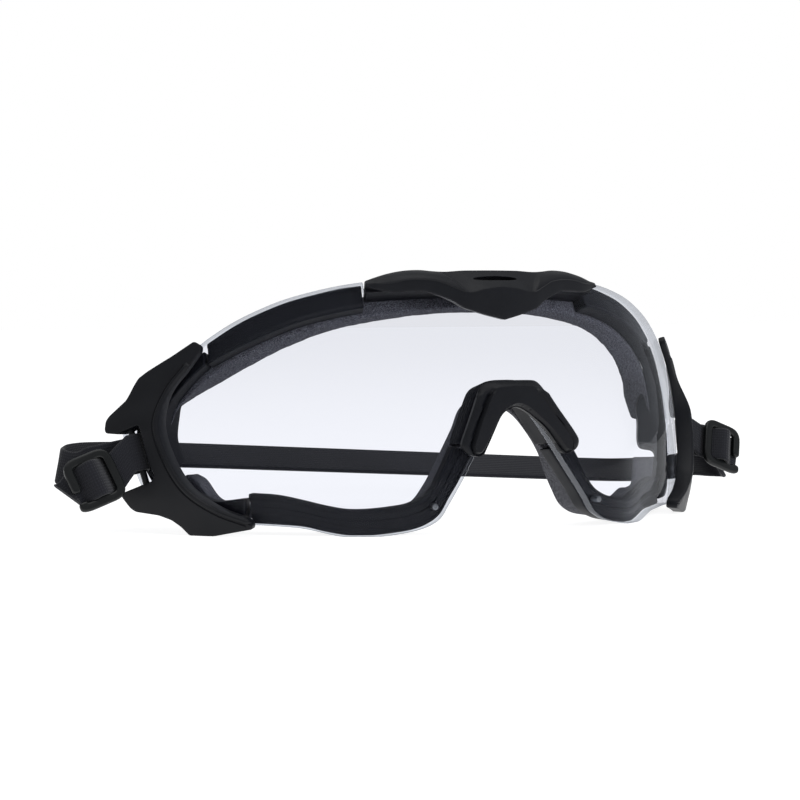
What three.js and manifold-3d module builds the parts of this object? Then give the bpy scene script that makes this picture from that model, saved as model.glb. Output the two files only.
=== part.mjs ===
// Sports protective goggles: a clear wrap lens with side arms that hold an elastic head strap.
// Millimetres, +Z up, the front faces -Y, and the origin is on the resting surface, halfway along X.
import * as THREE from 'three';
import { mergeVertices } from 'three/addons/utils/BufferGeometryUtils.js';
import Module from 'manifold-3d';

const wasm = await Module();
wasm.setup();

// Lens: part of a barrel, curved round an upright axis and, more gently, up and down.
const LENS_RADIUS = 98;
const RISE_RADIUS = 130;
const MID_HEIGHT = 35;
const LENS_THICKNESS = 2.2;
const ABOVE_LENS = 72;

// Stance: the goggles lean back on the two lens lobes and the rear corners of the arms.
const LEAN = THREE.MathUtils.degToRad(12);
const STAND_HEIGHT = 2.0;
const FLOOR_SIZE = 400;

// Layers, as distances out from the front face of the lens.
const GAP = 0.3;
const RIM_FRONT = -(LENS_THICKNESS + 0.4);
const RIM_REAR = RIM_FRONT - 2.6;
const WALL_REAR = -6.3;
const FACET = 6;

// Brow cover: half length, and how far the lens is cut away below it.
const BROW_END = 36.8;
const BROW_SEAT = 64;
const SEAT_ROOM = 0.35;
const VENT = { halfLength: 6.8, low: 64.8, high: 66.4 };

// Strap post: its two ends on the lens chart, and its radius.
const POST_LOW = [99.7, 18.3, 3.0];
const POST_HIGH = [103.8, 38.5, 3.0];
const POST_RADIUS = 0.9;
const POST_ROOM = 0.25;

// Strap: a flat elastic, doubled through a three-bar slide at each end.
const STRAP_WIDTH = 10;
const STRAP_THICKNESS = 1.2;
const STRAP_SPLIT = 60;
const STRAP_GAP = 1.0;
const STRAP_LEAN = THREE.MathUtils.degToRad(54);
const STRAP_DEPTH = 64;
const WRAP_RADIUS = POST_RADIUS + 0.15 + STRAP_THICKNESS / 2;

// Slide: a flat ring with a centre bar and a split outer bar.
const SLIDE = {
  length: 13, height: 14.2, thickness: 1.6, corner: 2.4, chamfer: 0.3, bar: 1.9, windowHeight: 10.6, hookGap: 2.4,
};
const SLIDE_TURN = THREE.MathUtils.degToRad(10);
const SLIDE_LIFT = WRAP_RADIUS + STRAP_THICKNESS / 2 + GAP + SLIDE.thickness / 2;
const WEAVE_RISE = SLIDE_LIFT + SLIDE.thickness / 2 + 2 * GAP + STRAP_THICKNESS / 2 - WRAP_RADIUS;
const WEAVE_HALF = 4.9;
const TAIL_STEPS = 30;

// How each strap end lies: the slide out from the post and below its middle, the tail's end and slant,
// and the height of the outer turn.
const LIE = {
  left: { sign: -1, reach: 14, drop: 5, tailEnd: 7.8, tailSlant: 4, turnHeight: 15.6 },
  right: { sign: 1, reach: 11.8, drop: 2.6, tailEnd: 7.2, tailSlant: 1, turnHeight: 12.2 },
};

const goggles = new THREE.Group();
const stance = new THREE.Group();
const front = new THREE.Group();
front.rotation.x = -LEAN;
front.position.z = STAND_HEIGHT;
stance.add(front);
goggles.add(stance);
goggles.updateMatrixWorld(true);

const LOOKS = {
  clear: { color: 0xdfe4ea, roughness: 0.05, metalness: 0 },
  frame: { color: 0x1d1e22, roughness: 0.5, metalness: 0 },
  rubber: { color: 0x2a2b30, roughness: 0.7, metalness: 0 },
  foam: { color: 0x35363b, roughness: 0.95, metalness: 0 },
  strap: { color: 0x26272f, roughness: 0.9, metalness: 0 },
  buckle: { color: 0x17181b, roughness: 0.35, metalness: 0 },
  metal: { color: 0xa9adb3, roughness: 0.3, metalness: 0.9 },
};

function addMesh(group, name, geometry, look) {
  const mesh = new THREE.Mesh(geometry, new THREE.MeshStandardMaterial(LOOKS[look]));
  mesh.name = name;
  group.add(mesh);
}

// ---------- the lens chart ----------

// The point at arc length s round the lens, height z, and t out from its front face.
function onLens(s, z, t) {
  const slope = (z - MID_HEIGHT) / RISE_RADIUS;
  const level = Math.sqrt(1 - slope * slope);
  const radius = LENS_RADIUS - RISE_RADIUS * (1 - level) + t * level;
  const turn = s / LENS_RADIUS;
  return new THREE.Vector3(
    radius * Math.sin(turn),
    LENS_RADIUS - radius * Math.cos(turn),
    z + t * slope,
  );
}

// The left half of an edge is the mirror of the right half, which starts at the centre.
function bothSides(half) {
  const left = half.slice(1).reverse().map(([s, z, t]) => [-s, z, t]);
  return [...left, ...half];
}

// ---------- solids ----------

function bareGeometry(geometry) {
  const bare = geometry.clone();
  bare.deleteAttribute('normal');
  bare.deleteAttribute('uv');
  return mergeVertices(bare, 1e-4);
}

function signedVolume(points, faces) {
  let sum = 0;
  for (const [a, b, c] of faces) {
    sum += points[a].dot(new THREE.Vector3().crossVectors(points[b], points[c]));
  }
  return sum / 6;
}

// A closed geometry from shared points and triangles, turned so that its faces point outwards.
function closedGeometry(points, faces) {
  const outward = signedVolume(points, faces) > 0;
  const turned = outward ? faces : faces.map(([a, b, c]) => [a, c, b]);
  const geometry = new THREE.BufferGeometry();
  const values = points.flatMap((p) => [p.x, p.y, p.z]);
  geometry.setAttribute('position', new THREE.Float32BufferAttribute(values, 3));
  geometry.setIndex(turned.flat());
  return geometry;
}

// A skin over a row of rings. Each ring goes along its front and back along its rear,
// so that point i of the front faces point n - 1 - i of the rear.
function skin(rings) {
  const n = rings[0].length;
  const faces = [];
  for (let i = 0; i + 1 < rings.length; i++) {
    for (let j = 0; j < n; j++) {
      const a = i * n + j;
      const b = i * n + ((j + 1) % n);
      faces.push([a, b, a + n], [b, b + n, a + n]);
    }
  }
  const last = (rings.length - 1) * n;
  for (let j = 0; j + 1 < n / 2; j++) {
    const k = n - 1 - j;
    faces.push([j, k, j + 1], [j + 1, k, k - 1]);
    faces.push([last + j, last + j + 1, last + k], [last + j + 1, last + k - 1, last + k]);
  }
  return closedGeometry(rings.flat(), faces);
}

function toSolid(geometry) {
  const bare = bareGeometry(geometry);
  return new wasm.Manifold(new wasm.Mesh({
    numProp: 3,
    vertProperties: new Float32Array(bare.attributes.position.array),
    triVerts: new Uint32Array(bare.index.array),
  }));
}

function fromSolid(solid) {
  const mesh = solid.getMesh();
  const geometry = new THREE.BufferGeometry();
  geometry.setAttribute('position', new THREE.Float32BufferAttribute(mesh.vertProperties, 3));
  geometry.setIndex([...mesh.triVerts]);
  return geometry;
}

// What lies below the resting surface, as a solid in the leaning group's own frame.
function floorSolid() {
  const floor = new THREE.BoxGeometry(FLOOR_SIZE, FLOOR_SIZE, FLOOR_SIZE);
  floor.translate(0, 0, -FLOOR_SIZE / 2);
  floor.applyMatrix4(front.matrixWorld.clone().invert());
  return toSolid(floor);
}

const floor = floorSolid();

// ---------- strips and plates on the lens chart ----------

function edgeCurve(points) {
  return new THREE.CatmullRomCurve3(points.map((p) => new THREE.Vector3(...p)), false, 'centripetal');
}

// A strip between four edges, each a list of [s, z, t]: front upper, front lower, rear lower, rear upper.
function strip(edges, stations, across) {
  const curves = edges.map(edgeCurve);
  const rings = [];
  for (let i = 0; i <= stations; i++) {
    const [upper, lower, rearLower, rearUpper] = curves.map((curve) => curve.getPoint(i / stations));
    const ring = [];
    for (let j = 0; j <= across; j++) ring.push(upper.clone().lerp(lower, j / across));
    for (let j = 0; j <= across; j++) ring.push(rearLower.clone().lerp(rearUpper, j / across));
    rings.push(ring.map((p) => onLens(p.x, p.y, p.z)));
  }
  return skin(rings);
}

function atDepth(points, t) {
  return points.map(([s, z]) => [s, z, t]);
}

function evenStrip(upper, lower, frontDepth, rearDepth, stations, across) {
  const edges = [
    atDepth(upper, frontDepth),
    atDepth(lower, frontDepth),
    atDepth(lower, rearDepth),
    atDepth(upper, rearDepth),
  ];
  return strip(edges, stations, across);
}

// Halves every edge longer than FACET, longest first, until none is left.
function refine(points, faces) {
  const middles = new Map();
  const middle = (a, b) => {
    const key = `${Math.min(a, b)} ${Math.max(a, b)}`;
    if (!middles.has(key)) {
      middles.set(key, points.length);
      points.push(points[a].clone().lerp(points[b], 0.5));
    }
    return middles.get(key);
  };
  const done = [];
  const queue = [...faces];
  while (queue.length) {
    const [a, b, c] = queue.pop();
    const turns = [[a, b, c], [b, c, a], [c, a, b]];
    const runs = turns.map(([p, q]) => points[p].distanceTo(points[q]));
    const longest = Math.max(...runs);
    if (longest <= FACET) {
      done.push([a, b, c]);
      continue;
    }
    const [p, q, r] = turns[runs.indexOf(longest)];
    const m = middle(p, q);
    queue.push([p, m, r], [m, q, r]);
  }
  return done;
}

const CHAMFER_SHARE = 0.2;

// A flat shape on the lens chart, with chamfered edges, between the depth rear and frontAt(z).
function plate(outline, rear, frontAt, chamfer) {
  const shape = new THREE.Shape(outline);
  const flat = new THREE.ExtrudeGeometry(shape, {
    depth: 1 - 2 * CHAMFER_SHARE,
    bevelThickness: CHAMFER_SHARE,
    bevelSize: chamfer,
    bevelOffset: -chamfer,
    bevelSegments: 1,
    curveSegments: 1,
  });
  const bare = bareGeometry(flat.translate(0, 0, CHAMFER_SHARE));
  const position = bare.attributes.position;
  const points = [];
  for (let i = 0; i < position.count; i++) points.push(new THREE.Vector3().fromBufferAttribute(position, i));
  const index = bare.index.array;
  const faces = [];
  for (let i = 0; i < index.length; i += 3) faces.push([index[i], index[i + 1], index[i + 2]]);
  const fine = refine(points, faces);
  return closedGeometry(points.map((p) => onLens(p.x, p.y, rear + p.z * (frontAt(p.y) - rear))), fine);
}

function smooth(points, steps) {
  return new THREE.SplineCurve(points.map(([s, z]) => new THREE.Vector2(s, z))).getPoints(steps);
}

function corners(points) {
  return points.map(([s, z]) => new THREE.Vector2(s, z));
}

function mirrored(geometry) {
  const turned = geometry.clone().scale(-1, 1, 1);
  const index = turned.index.array;
  for (let i = 0; i < index.length; i += 3) [index[i + 1], index[i + 2]] = [index[i + 2], index[i + 1]];
  return turned;
}

// Adds the piece made for the right as it is, and its mirror image on the left.
function addPair(group, name, geometry, look) {
  addMesh(group, `right_${name}`, geometry, look);
  addMesh(group, `left_${name}`, mirrored(geometry), look);
}

function rod(from, to, radius, segments) {
  const run = to.clone().sub(from);
  const geometry = new THREE.CylinderGeometry(radius, radius, run.length(), segments);
  const turn = new THREE.Quaternion().setFromUnitVectors(new THREE.Vector3(0, 1, 0), run.clone().normalize());
  geometry.applyQuaternion(turn);
  return geometry.translate(...from.clone().lerp(to, 0.5).toArray());
}

// ---------- lens ----------

const LENS_TOP = [
  [0, 66.3], [3.2, 66.3], [6.6, 66.4], [11.8, 66.6], [15.6, 66.8], [20, 67], [23, 67.1], [27, 67.2],
  [33, 67.4], [42, 67], [50, 66.1], [59, 64.6], [66, 62.7], [73, 60.3], [80, 57.1], [87, 53.2],
  [93, 50.6], [98, 48.6], [102.4, 45.2], [106.4, 40.4], [108.6, 35.4],
];
const LENS_BOTTOM = [
  [0, 33.6], [3.2, 32.6], [6.6, 28.6], [11.8, 19.4], [15.6, 13.2], [19.9, 7], [22.4, 3.7], [26, 1.9],
  [32, 0.8], [42, 0.5], [50, 1.5], [59.5, 4.4], [66.6, 5.8], [73, 6.8], [80, 7.4], [87.4, 8.3],
  [93.2, 11.8], [97.6, 14.4], [101.6, 16.2], [103.4, 18.6], [104.2, 20.5],
];
const PEG = { place: [23.8, 6.9], radius: 0.85, room: 0.3 };

function pegRod(radius, rear, head) {
  const [s, z] = PEG.place;
  return rod(onLens(s, z, rear), onLens(s, z, head), radius, 16);
}

function makeLens() {
  const sheet = evenStrip(bothSides(LENS_TOP), bothSides(LENS_BOTTOM), 0, -LENS_THICKNESS, 72, 5);
  const seatEnd = BROW_END + SEAT_ROOM;
  const seatHeight = BROW_SEAT - SEAT_ROOM;
  const seat = evenStrip(
    [[-seatEnd, ABOVE_LENS], [0, ABOVE_LENS], [seatEnd, ABOVE_LENS]],
    [[-seatEnd, seatHeight], [0, seatHeight], [seatEnd, seatHeight]],
    2, -LENS_THICKNESS - 2, 12, 1,
  );
  const hole = pegRod(PEG.radius + PEG.room, -LENS_THICKNESS - 2, 2);
  const solid = toSolid(sheet)
    .subtract(toSolid(seat))
    .subtract(toSolid(hole))
    .subtract(toSolid(mirrored(hole)))
    .subtract(floor);
  addMesh(front, 'lens', fromSolid(solid), 'clear');
  addPair(front, 'lens_peg', bareGeometry(pegRod(PEG.radius, -LENS_THICKNESS, 0.9)), 'metal');
}

// ---------- brow cover ----------

// Sections of the right half: distance from the centre, lower edge, crease and top ridge.
const BROW_SECTIONS = [
  [0, 54.1, 60.2, 68], [3.5, 55.2, 60.3, 68], [7, 56.3, 60.6, 68], [10.4, 57.1, 61.3, 67.9],
  [13, 58.6, 62.6, 67.7], [16, 60.6, 64.1, 67.9], [20, 62, 64.8, 68.4], [25, 62.9, 65.1, 68.5],
  [31, 63, 64.7, 68], [35, 63, 64.6, 67.3], [BROW_END, 63.2, 64.7, 66.8],
];
const BROW_REAR = -3.2;

function browRing([s, low, crease, top]) {
  const ring = [
    [low, 2.8], [crease, 4.2], [top, -0.4], [top - 0.3, BROW_REAR],
    [BROW_SEAT, BROW_REAR], [BROW_SEAT, GAP], [(low + BROW_SEAT) / 2, GAP], [low, GAP],
  ];
  return ring.map(([z, t]) => onLens(s, z, t));
}

function makeBrow() {
  const left = BROW_SECTIONS.slice(1).reverse().map(([s, ...rest]) => [-s, ...rest]);
  const body = skin([...left, ...BROW_SECTIONS].map(browRing));
  const { halfLength, low, high } = VENT;
  const slotEdge = (reach, z) => [[-reach, z], [0, z], [reach, z]];
  const slot = evenStrip(slotEdge(halfLength, high), slotEdge(halfLength, low), 5, BROW_REAR - 2, 4, 1);
  addMesh(front, 'brow_cover', fromSolid(toSolid(body).subtract(toSolid(slot))), 'frame');
  const reach = halfLength - GAP;
  const filter = evenStrip(slotEdge(reach, high - GAP), slotEdge(reach, low + GAP), -0.8, BROW_REAR + 0.4, 4, 1);
  addMesh(front, 'brow_vent_filter', filter, 'foam');
}

// ---------- frame behind the lens ----------

const UPPER_RIM_TOP = [[37.4, 66], [44, 65.4], [50, 64.8], [58, 63.5], [66, 61.4], [73, 59], [82, 55]];
const UPPER_RIM_LOW = [
  [37.4, 61.1], [44, 60.5], [50, 59.7], [58, 58.3], [65.6, 56.2], [73, 53.9], [82, 50.6],
];
const WALL_OUTER = [
  [82.8, 54.4], [91.5, 50.2], [98, 47.2], [103, 42], [105.8, 35], [103.8, 24], [99, 16.4], [90, 11], [76, 8.4],
];
const WALL_INNER = [
  [82.6, 50.7], [88.4, 46.8], [93.2, 42.6], [95.4, 38.6], [95.6, 34], [93.6, 26], [89.6, 19.6], [84.8, 15.2],
  [75.4, 11.4],
];
const LOWER_RIM_OUTER = [
  [75, 8.4], [66.6, 7.2], [59.6, 5.8], [54, 4.3], [48, 2.8], [42, 2.2], [35, 2.3], [29.4, 2.9],
  [24.8, 4.6], [21.8, 7.6], [17.6, 13.9], [13.5, 20.2], [10.3, 26.2], [8.9, 29],
];
const LOWER_RIM_INNER = [
  [74.4, 13.4], [66.4, 13], [59.4, 11.3], [53.4, 9.3], [47.6, 7.4], [41.5, 6.7], [35.5, 6.8], [30.6, 7.2],
  [27.2, 8.4], [24, 11], [20.3, 16], [16.5, 22], [13.5, 27.6], [12.3, 30.4],
];
const SADDLE_TOP = [[0, 39], [4.6, 38.4], [8.8, 36.4], [11.6, 32.4]];
const SADDLE_LOW = [[0, 35], [3.4, 34.4], [6, 32.8], [7.8, 30.6]];
const SADDLE_REAR = -9;

function makeFrame() {
  addPair(front, 'upper_rim', evenStrip(UPPER_RIM_TOP, UPPER_RIM_LOW, RIM_FRONT, RIM_REAR, 12, 1), 'rubber');
  addPair(front, 'side_wall', evenStrip(WALL_OUTER, WALL_INNER, RIM_FRONT, WALL_REAR, 22, 1), 'rubber');
  const lower = evenStrip(LOWER_RIM_OUTER, LOWER_RIM_INNER, RIM_FRONT, WALL_REAR, 28, 1);
  addPair(front, 'lower_rim', lower, 'rubber');
  const saddle = evenStrip(bothSides(SADDLE_TOP), bothSides(SADDLE_LOW), RIM_FRONT, SADDLE_REAR, 14, 1);
  addMesh(front, 'nose_saddle', saddle, 'rubber');
}

// ---------- foam ----------

const FOAM_SEAT = -6.7;
const FOAM_TOP_FRONT = [
  [0, 63.6], [17, 64], [34, 64.4], [50, 63], [65, 59.6], [78, 54.8], [88, 50.2], [96, 46.5], [101, 42.5],
  [103.5, 36],
];
const FOAM_LOW_FRONT = [
  [0, 61.4], [17, 61.4], [34, 60.8], [50, 59.2], [64, 56.2], [75, 52.4], [84, 47.9], [90, 44], [94.5, 40],
  [97.5, 34.5],
];
const FOAM_TOP_REAR = [
  [0, 64.4], [17, 64.6], [34, 64.8], [50, 63.6], [66, 60.4], [79, 56], [89.5, 51.5], [98, 48], [104, 43.5],
  [107, 36.5],
];
const FOAM_LOW_REAR = [
  [0, 61.5], [17, 61.5], [34, 61.2], [48, 59.6], [62, 55.9], [74, 51.3], [84, 47.7], [94, 44.3], [99.5, 41.5],
  [102.7, 35],
];
const FOAM_REAR_DEPTHS = [-11.5, -11.5, -11.5, -11.5, -11.8, -12.4, -13, -13.2, -13.2, -12];
const LOWER_FOAM_OUTER = [
  [96.5, 20.5], [93, 15.4], [86, 11.2], [76, 8.4], [66.5, 7.2], [57, 5], [48, 2.6], [40, 1.7],
  [33, 1.8], [28, 3.1], [24.6, 5.8], [21.2, 10.6],
];
const LOWER_FOAM_INNER = [
  [90, 22], [86.6, 18.6], [80.4, 15.2], [73, 12.2], [65.2, 11], [56.6, 8.6], [48, 6.1], [40.5, 5.2],
  [34, 5.5], [30, 6.5], [26.6, 8.6], [22.8, 12.4],
];
const LOWER_FOAM_REAR = -11.5;

function makeFoam() {
  const rearEdge = (points) => points.map(([s, z], i) => [s, z, FOAM_REAR_DEPTHS[i]]);
  const edges = [
    atDepth(FOAM_TOP_FRONT, FOAM_SEAT),
    atDepth(FOAM_LOW_FRONT, FOAM_SEAT),
    rearEdge(FOAM_LOW_REAR),
    rearEdge(FOAM_TOP_REAR),
  ];
  addMesh(front, 'foam_upper', strip(edges.map(bothSides), 44, 1), 'foam');
  const lower = evenStrip(LOWER_FOAM_OUTER, LOWER_FOAM_INNER, FOAM_SEAT, LOWER_FOAM_REAR, 26, 1);
  addPair(front, 'foam_lower', lower, 'foam');
}

// ---------- side arms and strap posts ----------

const ARM_INNER = [[85.8, 48.7], [91.2, 43.4], [93.8, 36], [92, 27], [87.8, 18.8], [80.6, 12.6], [73.4, 9]];
const ARM_REST = [
  [72.2, 7.9], [72.3, 6.2], [84, 5.7], [89.2, 5.8], [91.8, 9.2], [94, 11.2], [97.4, 12.9], [104, 14.7],
  [105.4, 15.8], [107.6, 19.2], [107, 20], [97.2, 21.7], [96.5, 22.9], [97.7, 26.3], [99.3, 35.2],
  [99.8, 36.2], [105.9, 35], [110, 35.6], [110.7, 36.4], [110.7, 39], [109.8, 40.2], [104.7, 43.6],
  [102.5, 46.7], [100.7, 48.8], [98, 50.1], [90, 53.1], [83.6, 56], [81.6, 54.6], [81.8, 53],
];
const BEAD = { offset: 0.7, width: 1.2, rise: 0.5, root: -0.4 };
const FORK_DEPTH = 4.7;

// Thin at the brow end, full depth round the fork that holds the post, a little less at the foot.
function armFront(z) {
  const toBrow = THREE.MathUtils.smoothstep(z, 37, 50);
  const toFoot = THREE.MathUtils.smoothstep(-z, -18, -6);
  return FORK_DEPTH - 2.2 * toBrow - 1.2 * toFoot;
}

function makeArms() {
  const inner = smooth(ARM_INNER, 14);
  const body = plate([...inner, ...corners(ARM_REST)], GAP, armFront, 0.5);
  const beadLine = [[82.6, 52.4], ...ARM_INNER.slice(0, -1), [74.6, 9.8]];
  const beadEdge = (offset, rise) => beadLine.map(([s, z]) => [s + offset, z, armFront(z) + rise]);
  const bead = strip([
    beadEdge(BEAD.offset, BEAD.rise),
    beadEdge(BEAD.offset + BEAD.width, BEAD.rise),
    beadEdge(BEAD.offset + BEAD.width, BEAD.root),
    beadEdge(BEAD.offset, BEAD.root),
  ], 20, 1);
  const low = onLens(...POST_LOW);
  const high = onLens(...POST_HIGH);
  const hole = rod(low, high, POST_RADIUS + POST_ROOM, 16);
  const arm = toSolid(body).add(toSolid(bead)).subtract(toSolid(hole)).subtract(floor);
  addPair(front, 'arm', fromSolid(arm), 'frame');
  const inset = high.clone().sub(low).normalize().multiplyScalar(GAP);
  const post = rod(low.clone().add(inset), high.clone().sub(inset), POST_RADIUS, 16);
  addPair(front, 'strap_post', bareGeometry(post), 'frame');
}

// ---------- nose clip ----------

const CLIP_OUTLINE = [
  [0, 38.4], [6.5, 38.3], [9, 37.4], [10.6, 35.6], [14.6, 29], [18.2, 22.9], [17.6, 21.6], [12.6, 19.4],
  [10.4, 19.3], [9.7, 20.4], [5.5, 27], [3.9, 29.4], [2.2, 30.9], [0, 31.5],
];
const ARCH_OUTLINE = [
  [0, 36.6], [4.6, 36.3], [6.6, 35], [9, 31.6], [10.8, 27.4], [12.9, 21.6], [12.2, 20.2], [10.8, 20],
  [10, 20.8], [5.9, 27.2], [4.2, 29.8], [2.4, 31.3], [0, 31.9],
];

function wholeOutline(half) {
  const left = half.slice(1, -1).reverse().map(([s, z]) => [-s, z]);
  return corners([...half, ...left]);
}

function makeNoseClip() {
  const base = plate(wholeOutline(CLIP_OUTLINE), GAP, () => 2.4, 0.4);
  const arch = plate(wholeOutline(ARCH_OUTLINE), 1.6, () => 3.4, 0.3);
  addMesh(front, 'nose_clip', fromSolid(toSolid(base).add(toSolid(arch))), 'frame');
}

// ---------- strap ----------

const STRAP_AIM = new THREE.Vector3(1, 0.17, 0);
const STRAP_RISE = 1.0;
const BACK_MID = 14.7;
const BACK_SLOPE = -0.064;
const TURN_POINTS = [[101.9, 56.6], [103.5, 59.8], [101.3, 62.9], [96, STRAP_DEPTH]];
const STRAIGHT_REACH = 11.5;
const WEAVE_START = WEAVE_HALF + STRAP_GAP + GAP;

// Axes of the right strap end: along the post, out from it, and to the rear of it.
function strapAxes() {
  const low = front.localToWorld(onLens(...POST_LOW));
  const high = front.localToWorld(onLens(...POST_HIGH));
  const along = high.clone().sub(low).normalize();
  const out = STRAP_AIM.clone().addScaledVector(along, -STRAP_AIM.dot(along)).normalize();
  const rear = along.clone().cross(out);
  const centre = low.lerp(high, 0.5).addScaledVector(along, STRAP_RISE);
  const [cos, sin] = [Math.cos(SLIDE_TURN), Math.sin(SLIDE_TURN)];
  const slideOut = out.clone().multiplyScalar(cos).addScaledVector(along, -sin);
  const slideAlong = along.clone().multiplyScalar(cos).addScaledVector(out, sin);
  return { centre, along, out, rear, slideOut, slideAlong };
}

const axes = strapAxes();

// A flat band through frames, each with a point, the direction of its width, and how far its upper edge leads.
function ribbon(frames) {
  const rings = frames.map(({ point, wide, slant = 0 }, i) => {
    const before = frames[Math.max(i - 1, 0)].point;
    const after = frames[Math.min(i + 1, frames.length - 1)].point;
    const ahead = after.clone().sub(before).normalize();
    const side = wide.clone().normalize();
    const face = ahead.clone().cross(side).setLength(STRAP_THICKNESS / 2);
    const half = side.multiplyScalar(STRAP_WIDTH / 2).addScaledVector(ahead, slant / 2);
    return [
      point.clone().add(half).add(face),
      point.clone().sub(half).add(face),
      point.clone().sub(half).sub(face),
      point.clone().add(half).sub(face),
    ];
  });
  return skin(rings);
}

// A point of the slide's own plane: out from its centre bar, and lifted to the front.
function onSlide(lie, outward, lift) {
  return axes.centre.clone()
    .addScaledVector(axes.out, lie.reach)
    .addScaledVector(axes.along, -lie.drop)
    .addScaledVector(axes.slideOut, outward)
    .addScaledVector(axes.rear, -lift);
}

function backRun(x) {
  return new THREE.Vector3(x, STRAP_DEPTH, BACK_MID + BACK_SLOPE * x);
}

const BACK_WIDE = new THREE.Vector3(0, Math.sin(STRAP_LEAN), Math.cos(STRAP_LEAN));
const TURN_WIDE = new THREE.Vector3(-0.34, 0.34, 0.88);

// The doubled end of the strap: front layer, round the post, rear layer, turn, and the start of the back run.
function loopFrames(lie) {
  const frames = [];
  const { centre, along, out, rear, slideAlong } = axes;
  const atSlide = onSlide(lie, -WEAVE_START, WRAP_RADIUS);
  const atPost = centre.clone().addScaledVector(rear, -WRAP_RADIUS);
  frames.push({ point: atSlide, wide: slideAlong });
  frames.push({ point: atSlide.clone().lerp(atPost, 0.45), wide: slideAlong.clone().lerp(along, 0.45) });
  for (let i = 0; i <= 6; i++) {
    const turn = (i / 6) * Math.PI;
    const point = centre.clone()
      .addScaledVector(rear, -WRAP_RADIUS * Math.cos(turn))
      .addScaledVector(out, -WRAP_RADIUS * Math.sin(turn));
    frames.push({ point, wide: along });
  }
  for (const reach of [STRAIGHT_REACH / 2, STRAIGHT_REACH]) {
    const point = centre.clone().addScaledVector(rear, WRAP_RADIUS).addScaledVector(out, reach);
    frames.push({ point, wide: along });
  }
  TURN_POINTS.forEach(([x, y], i) => {
    const share = (i + 1) / TURN_POINTS.length;
    const height = THREE.MathUtils.lerp(lie.turnHeight, backRun(lie.sign * x).z, share * share);
    const wide = TURN_WIDE.clone().lerp(BACK_WIDE, Math.max(2 * share - 1, 0));
    frames.push({ point: new THREE.Vector3(x, y, height), wide });
  });
  for (const x of [88, 74, STRAP_SPLIT + STRAP_GAP / 2]) {
    const point = backRun(lie.sign * x);
    point.x = x;
    frames.push({ point, wide: BACK_WIDE });
  }
  return frames;
}

// Frames spread evenly along a smooth curve through the given ones.
function spreadFrames(frames, count) {
  const path = new THREE.CatmullRomCurve3(frames.map((f) => f.point), false, 'centripetal');
  const widths = new THREE.CatmullRomCurve3(frames.map((f) => f.wide), false, 'centripetal');
  const spread = [];
  for (let i = 0; i <= count; i++) {
    spread.push({ point: path.getPoint(i / count), wide: widths.getPoint(i / count) });
  }
  return spread;
}

// The woven end rides on the slide: over the centre bar, under the split bar, and out to a slanted cut.
function tailFrames(lie) {
  const frames = [];
  for (let i = 0; i <= TAIL_STEPS; i++) {
    const outward = THREE.MathUtils.lerp(-WEAVE_HALF, lie.tailEnd, i / TAIL_STEPS);
    const inside = Math.min(Math.abs(outward) / WEAVE_HALF, 1);
    const rise = WEAVE_RISE * (0.5 + 0.5 * Math.cos(Math.PI * inside));
    const slant = lie.tailSlant * THREE.MathUtils.smoothstep(outward, WEAVE_HALF + 0.5, lie.tailEnd);
    frames.push({ point: onSlide(lie, outward, WRAP_RADIUS + rise), wide: axes.slideAlong, slant });
  }
  return frames;
}

function slideOutline() {
  const { corner } = SLIDE;
  const [x, y] = [SLIDE.length / 2, SLIDE.height / 2];
  const shape = new THREE.Shape();
  shape.moveTo(-x + corner, -y);
  shape.lineTo(x - corner, -y);
  shape.absarc(x - corner, -y + corner, corner, -Math.PI / 2, 0);
  shape.lineTo(x, y - corner);
  shape.absarc(x - corner, y - corner, corner, 0, Math.PI / 2);
  shape.lineTo(-x + corner, y);
  shape.absarc(-x + corner, y - corner, corner, Math.PI / 2, Math.PI);
  shape.lineTo(-x, -y + corner);
  shape.absarc(-x + corner, -y + corner, corner, Math.PI, Math.PI * 1.5);
  return shape;
}

function slideGeometry(lie) {
  const { length, thickness, chamfer, bar, windowHeight } = SLIDE;
  const ring = new THREE.ExtrudeGeometry(slideOutline(), {
    depth: thickness - 2 * chamfer,
    bevelThickness: chamfer,
    bevelSize: chamfer,
    bevelOffset: -chamfer,
    bevelSegments: 1,
    curveSegments: 5,
  });
  ring.translate(0, 0, -thickness / 2 + chamfer);
  const windowLength = (length - 3 * bar) / 2;
  const windowAt = (bar + windowLength) / 2;
  const windowBox = new THREE.BoxGeometry(windowLength, windowHeight, thickness * 2);
  const hookGap = new THREE.BoxGeometry(bar * 3, SLIDE.hookGap, thickness * 2);
  const solid = toSolid(ring)
    .subtract(toSolid(windowBox.clone().translate(-windowAt, 0, 0)))
    .subtract(toSolid(windowBox.clone().translate(windowAt, 0, 0)))
    .subtract(toSolid(hookGap.translate(length / 2, -windowHeight * 0.3, 0)));
  const geometry = fromSolid(solid);
  const basis = new THREE.Matrix4().makeBasis(axes.slideOut, axes.slideAlong, axes.rear.clone().negate());
  basis.setPosition(onSlide(lie, 0, SLIDE_LIFT));
  return geometry.applyMatrix4(basis);
}

function makeStrap() {
  const bandEnd = STRAP_SPLIT - STRAP_GAP / 2;
  const bandFrames = [-1, -0.5, 0, 0.5, 1].map((share) => ({ point: backRun(share * bandEnd), wide: BACK_WIDE }));
  addMesh(stance, 'strap_band', ribbon(bandFrames), 'strap');
  for (const [side, lie] of Object.entries(LIE)) {
    const placed = (geometry) => (lie.sign > 0 ? geometry : mirrored(geometry));
    addMesh(stance, `${side}_strap_loop`, placed(ribbon(spreadFrames(loopFrames(lie), 52))), 'strap');
    addMesh(stance, `${side}_strap_tail`, placed(ribbon(tailFrames(lie))), 'strap');
    addMesh(stance, `${side}_strap_slide`, placed(slideGeometry(lie)), 'buckle');
  }
}

makeLens();
makeBrow();
makeFrame();
makeFoam();
makeArms();
makeNoseClip();
makeStrap();

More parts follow.
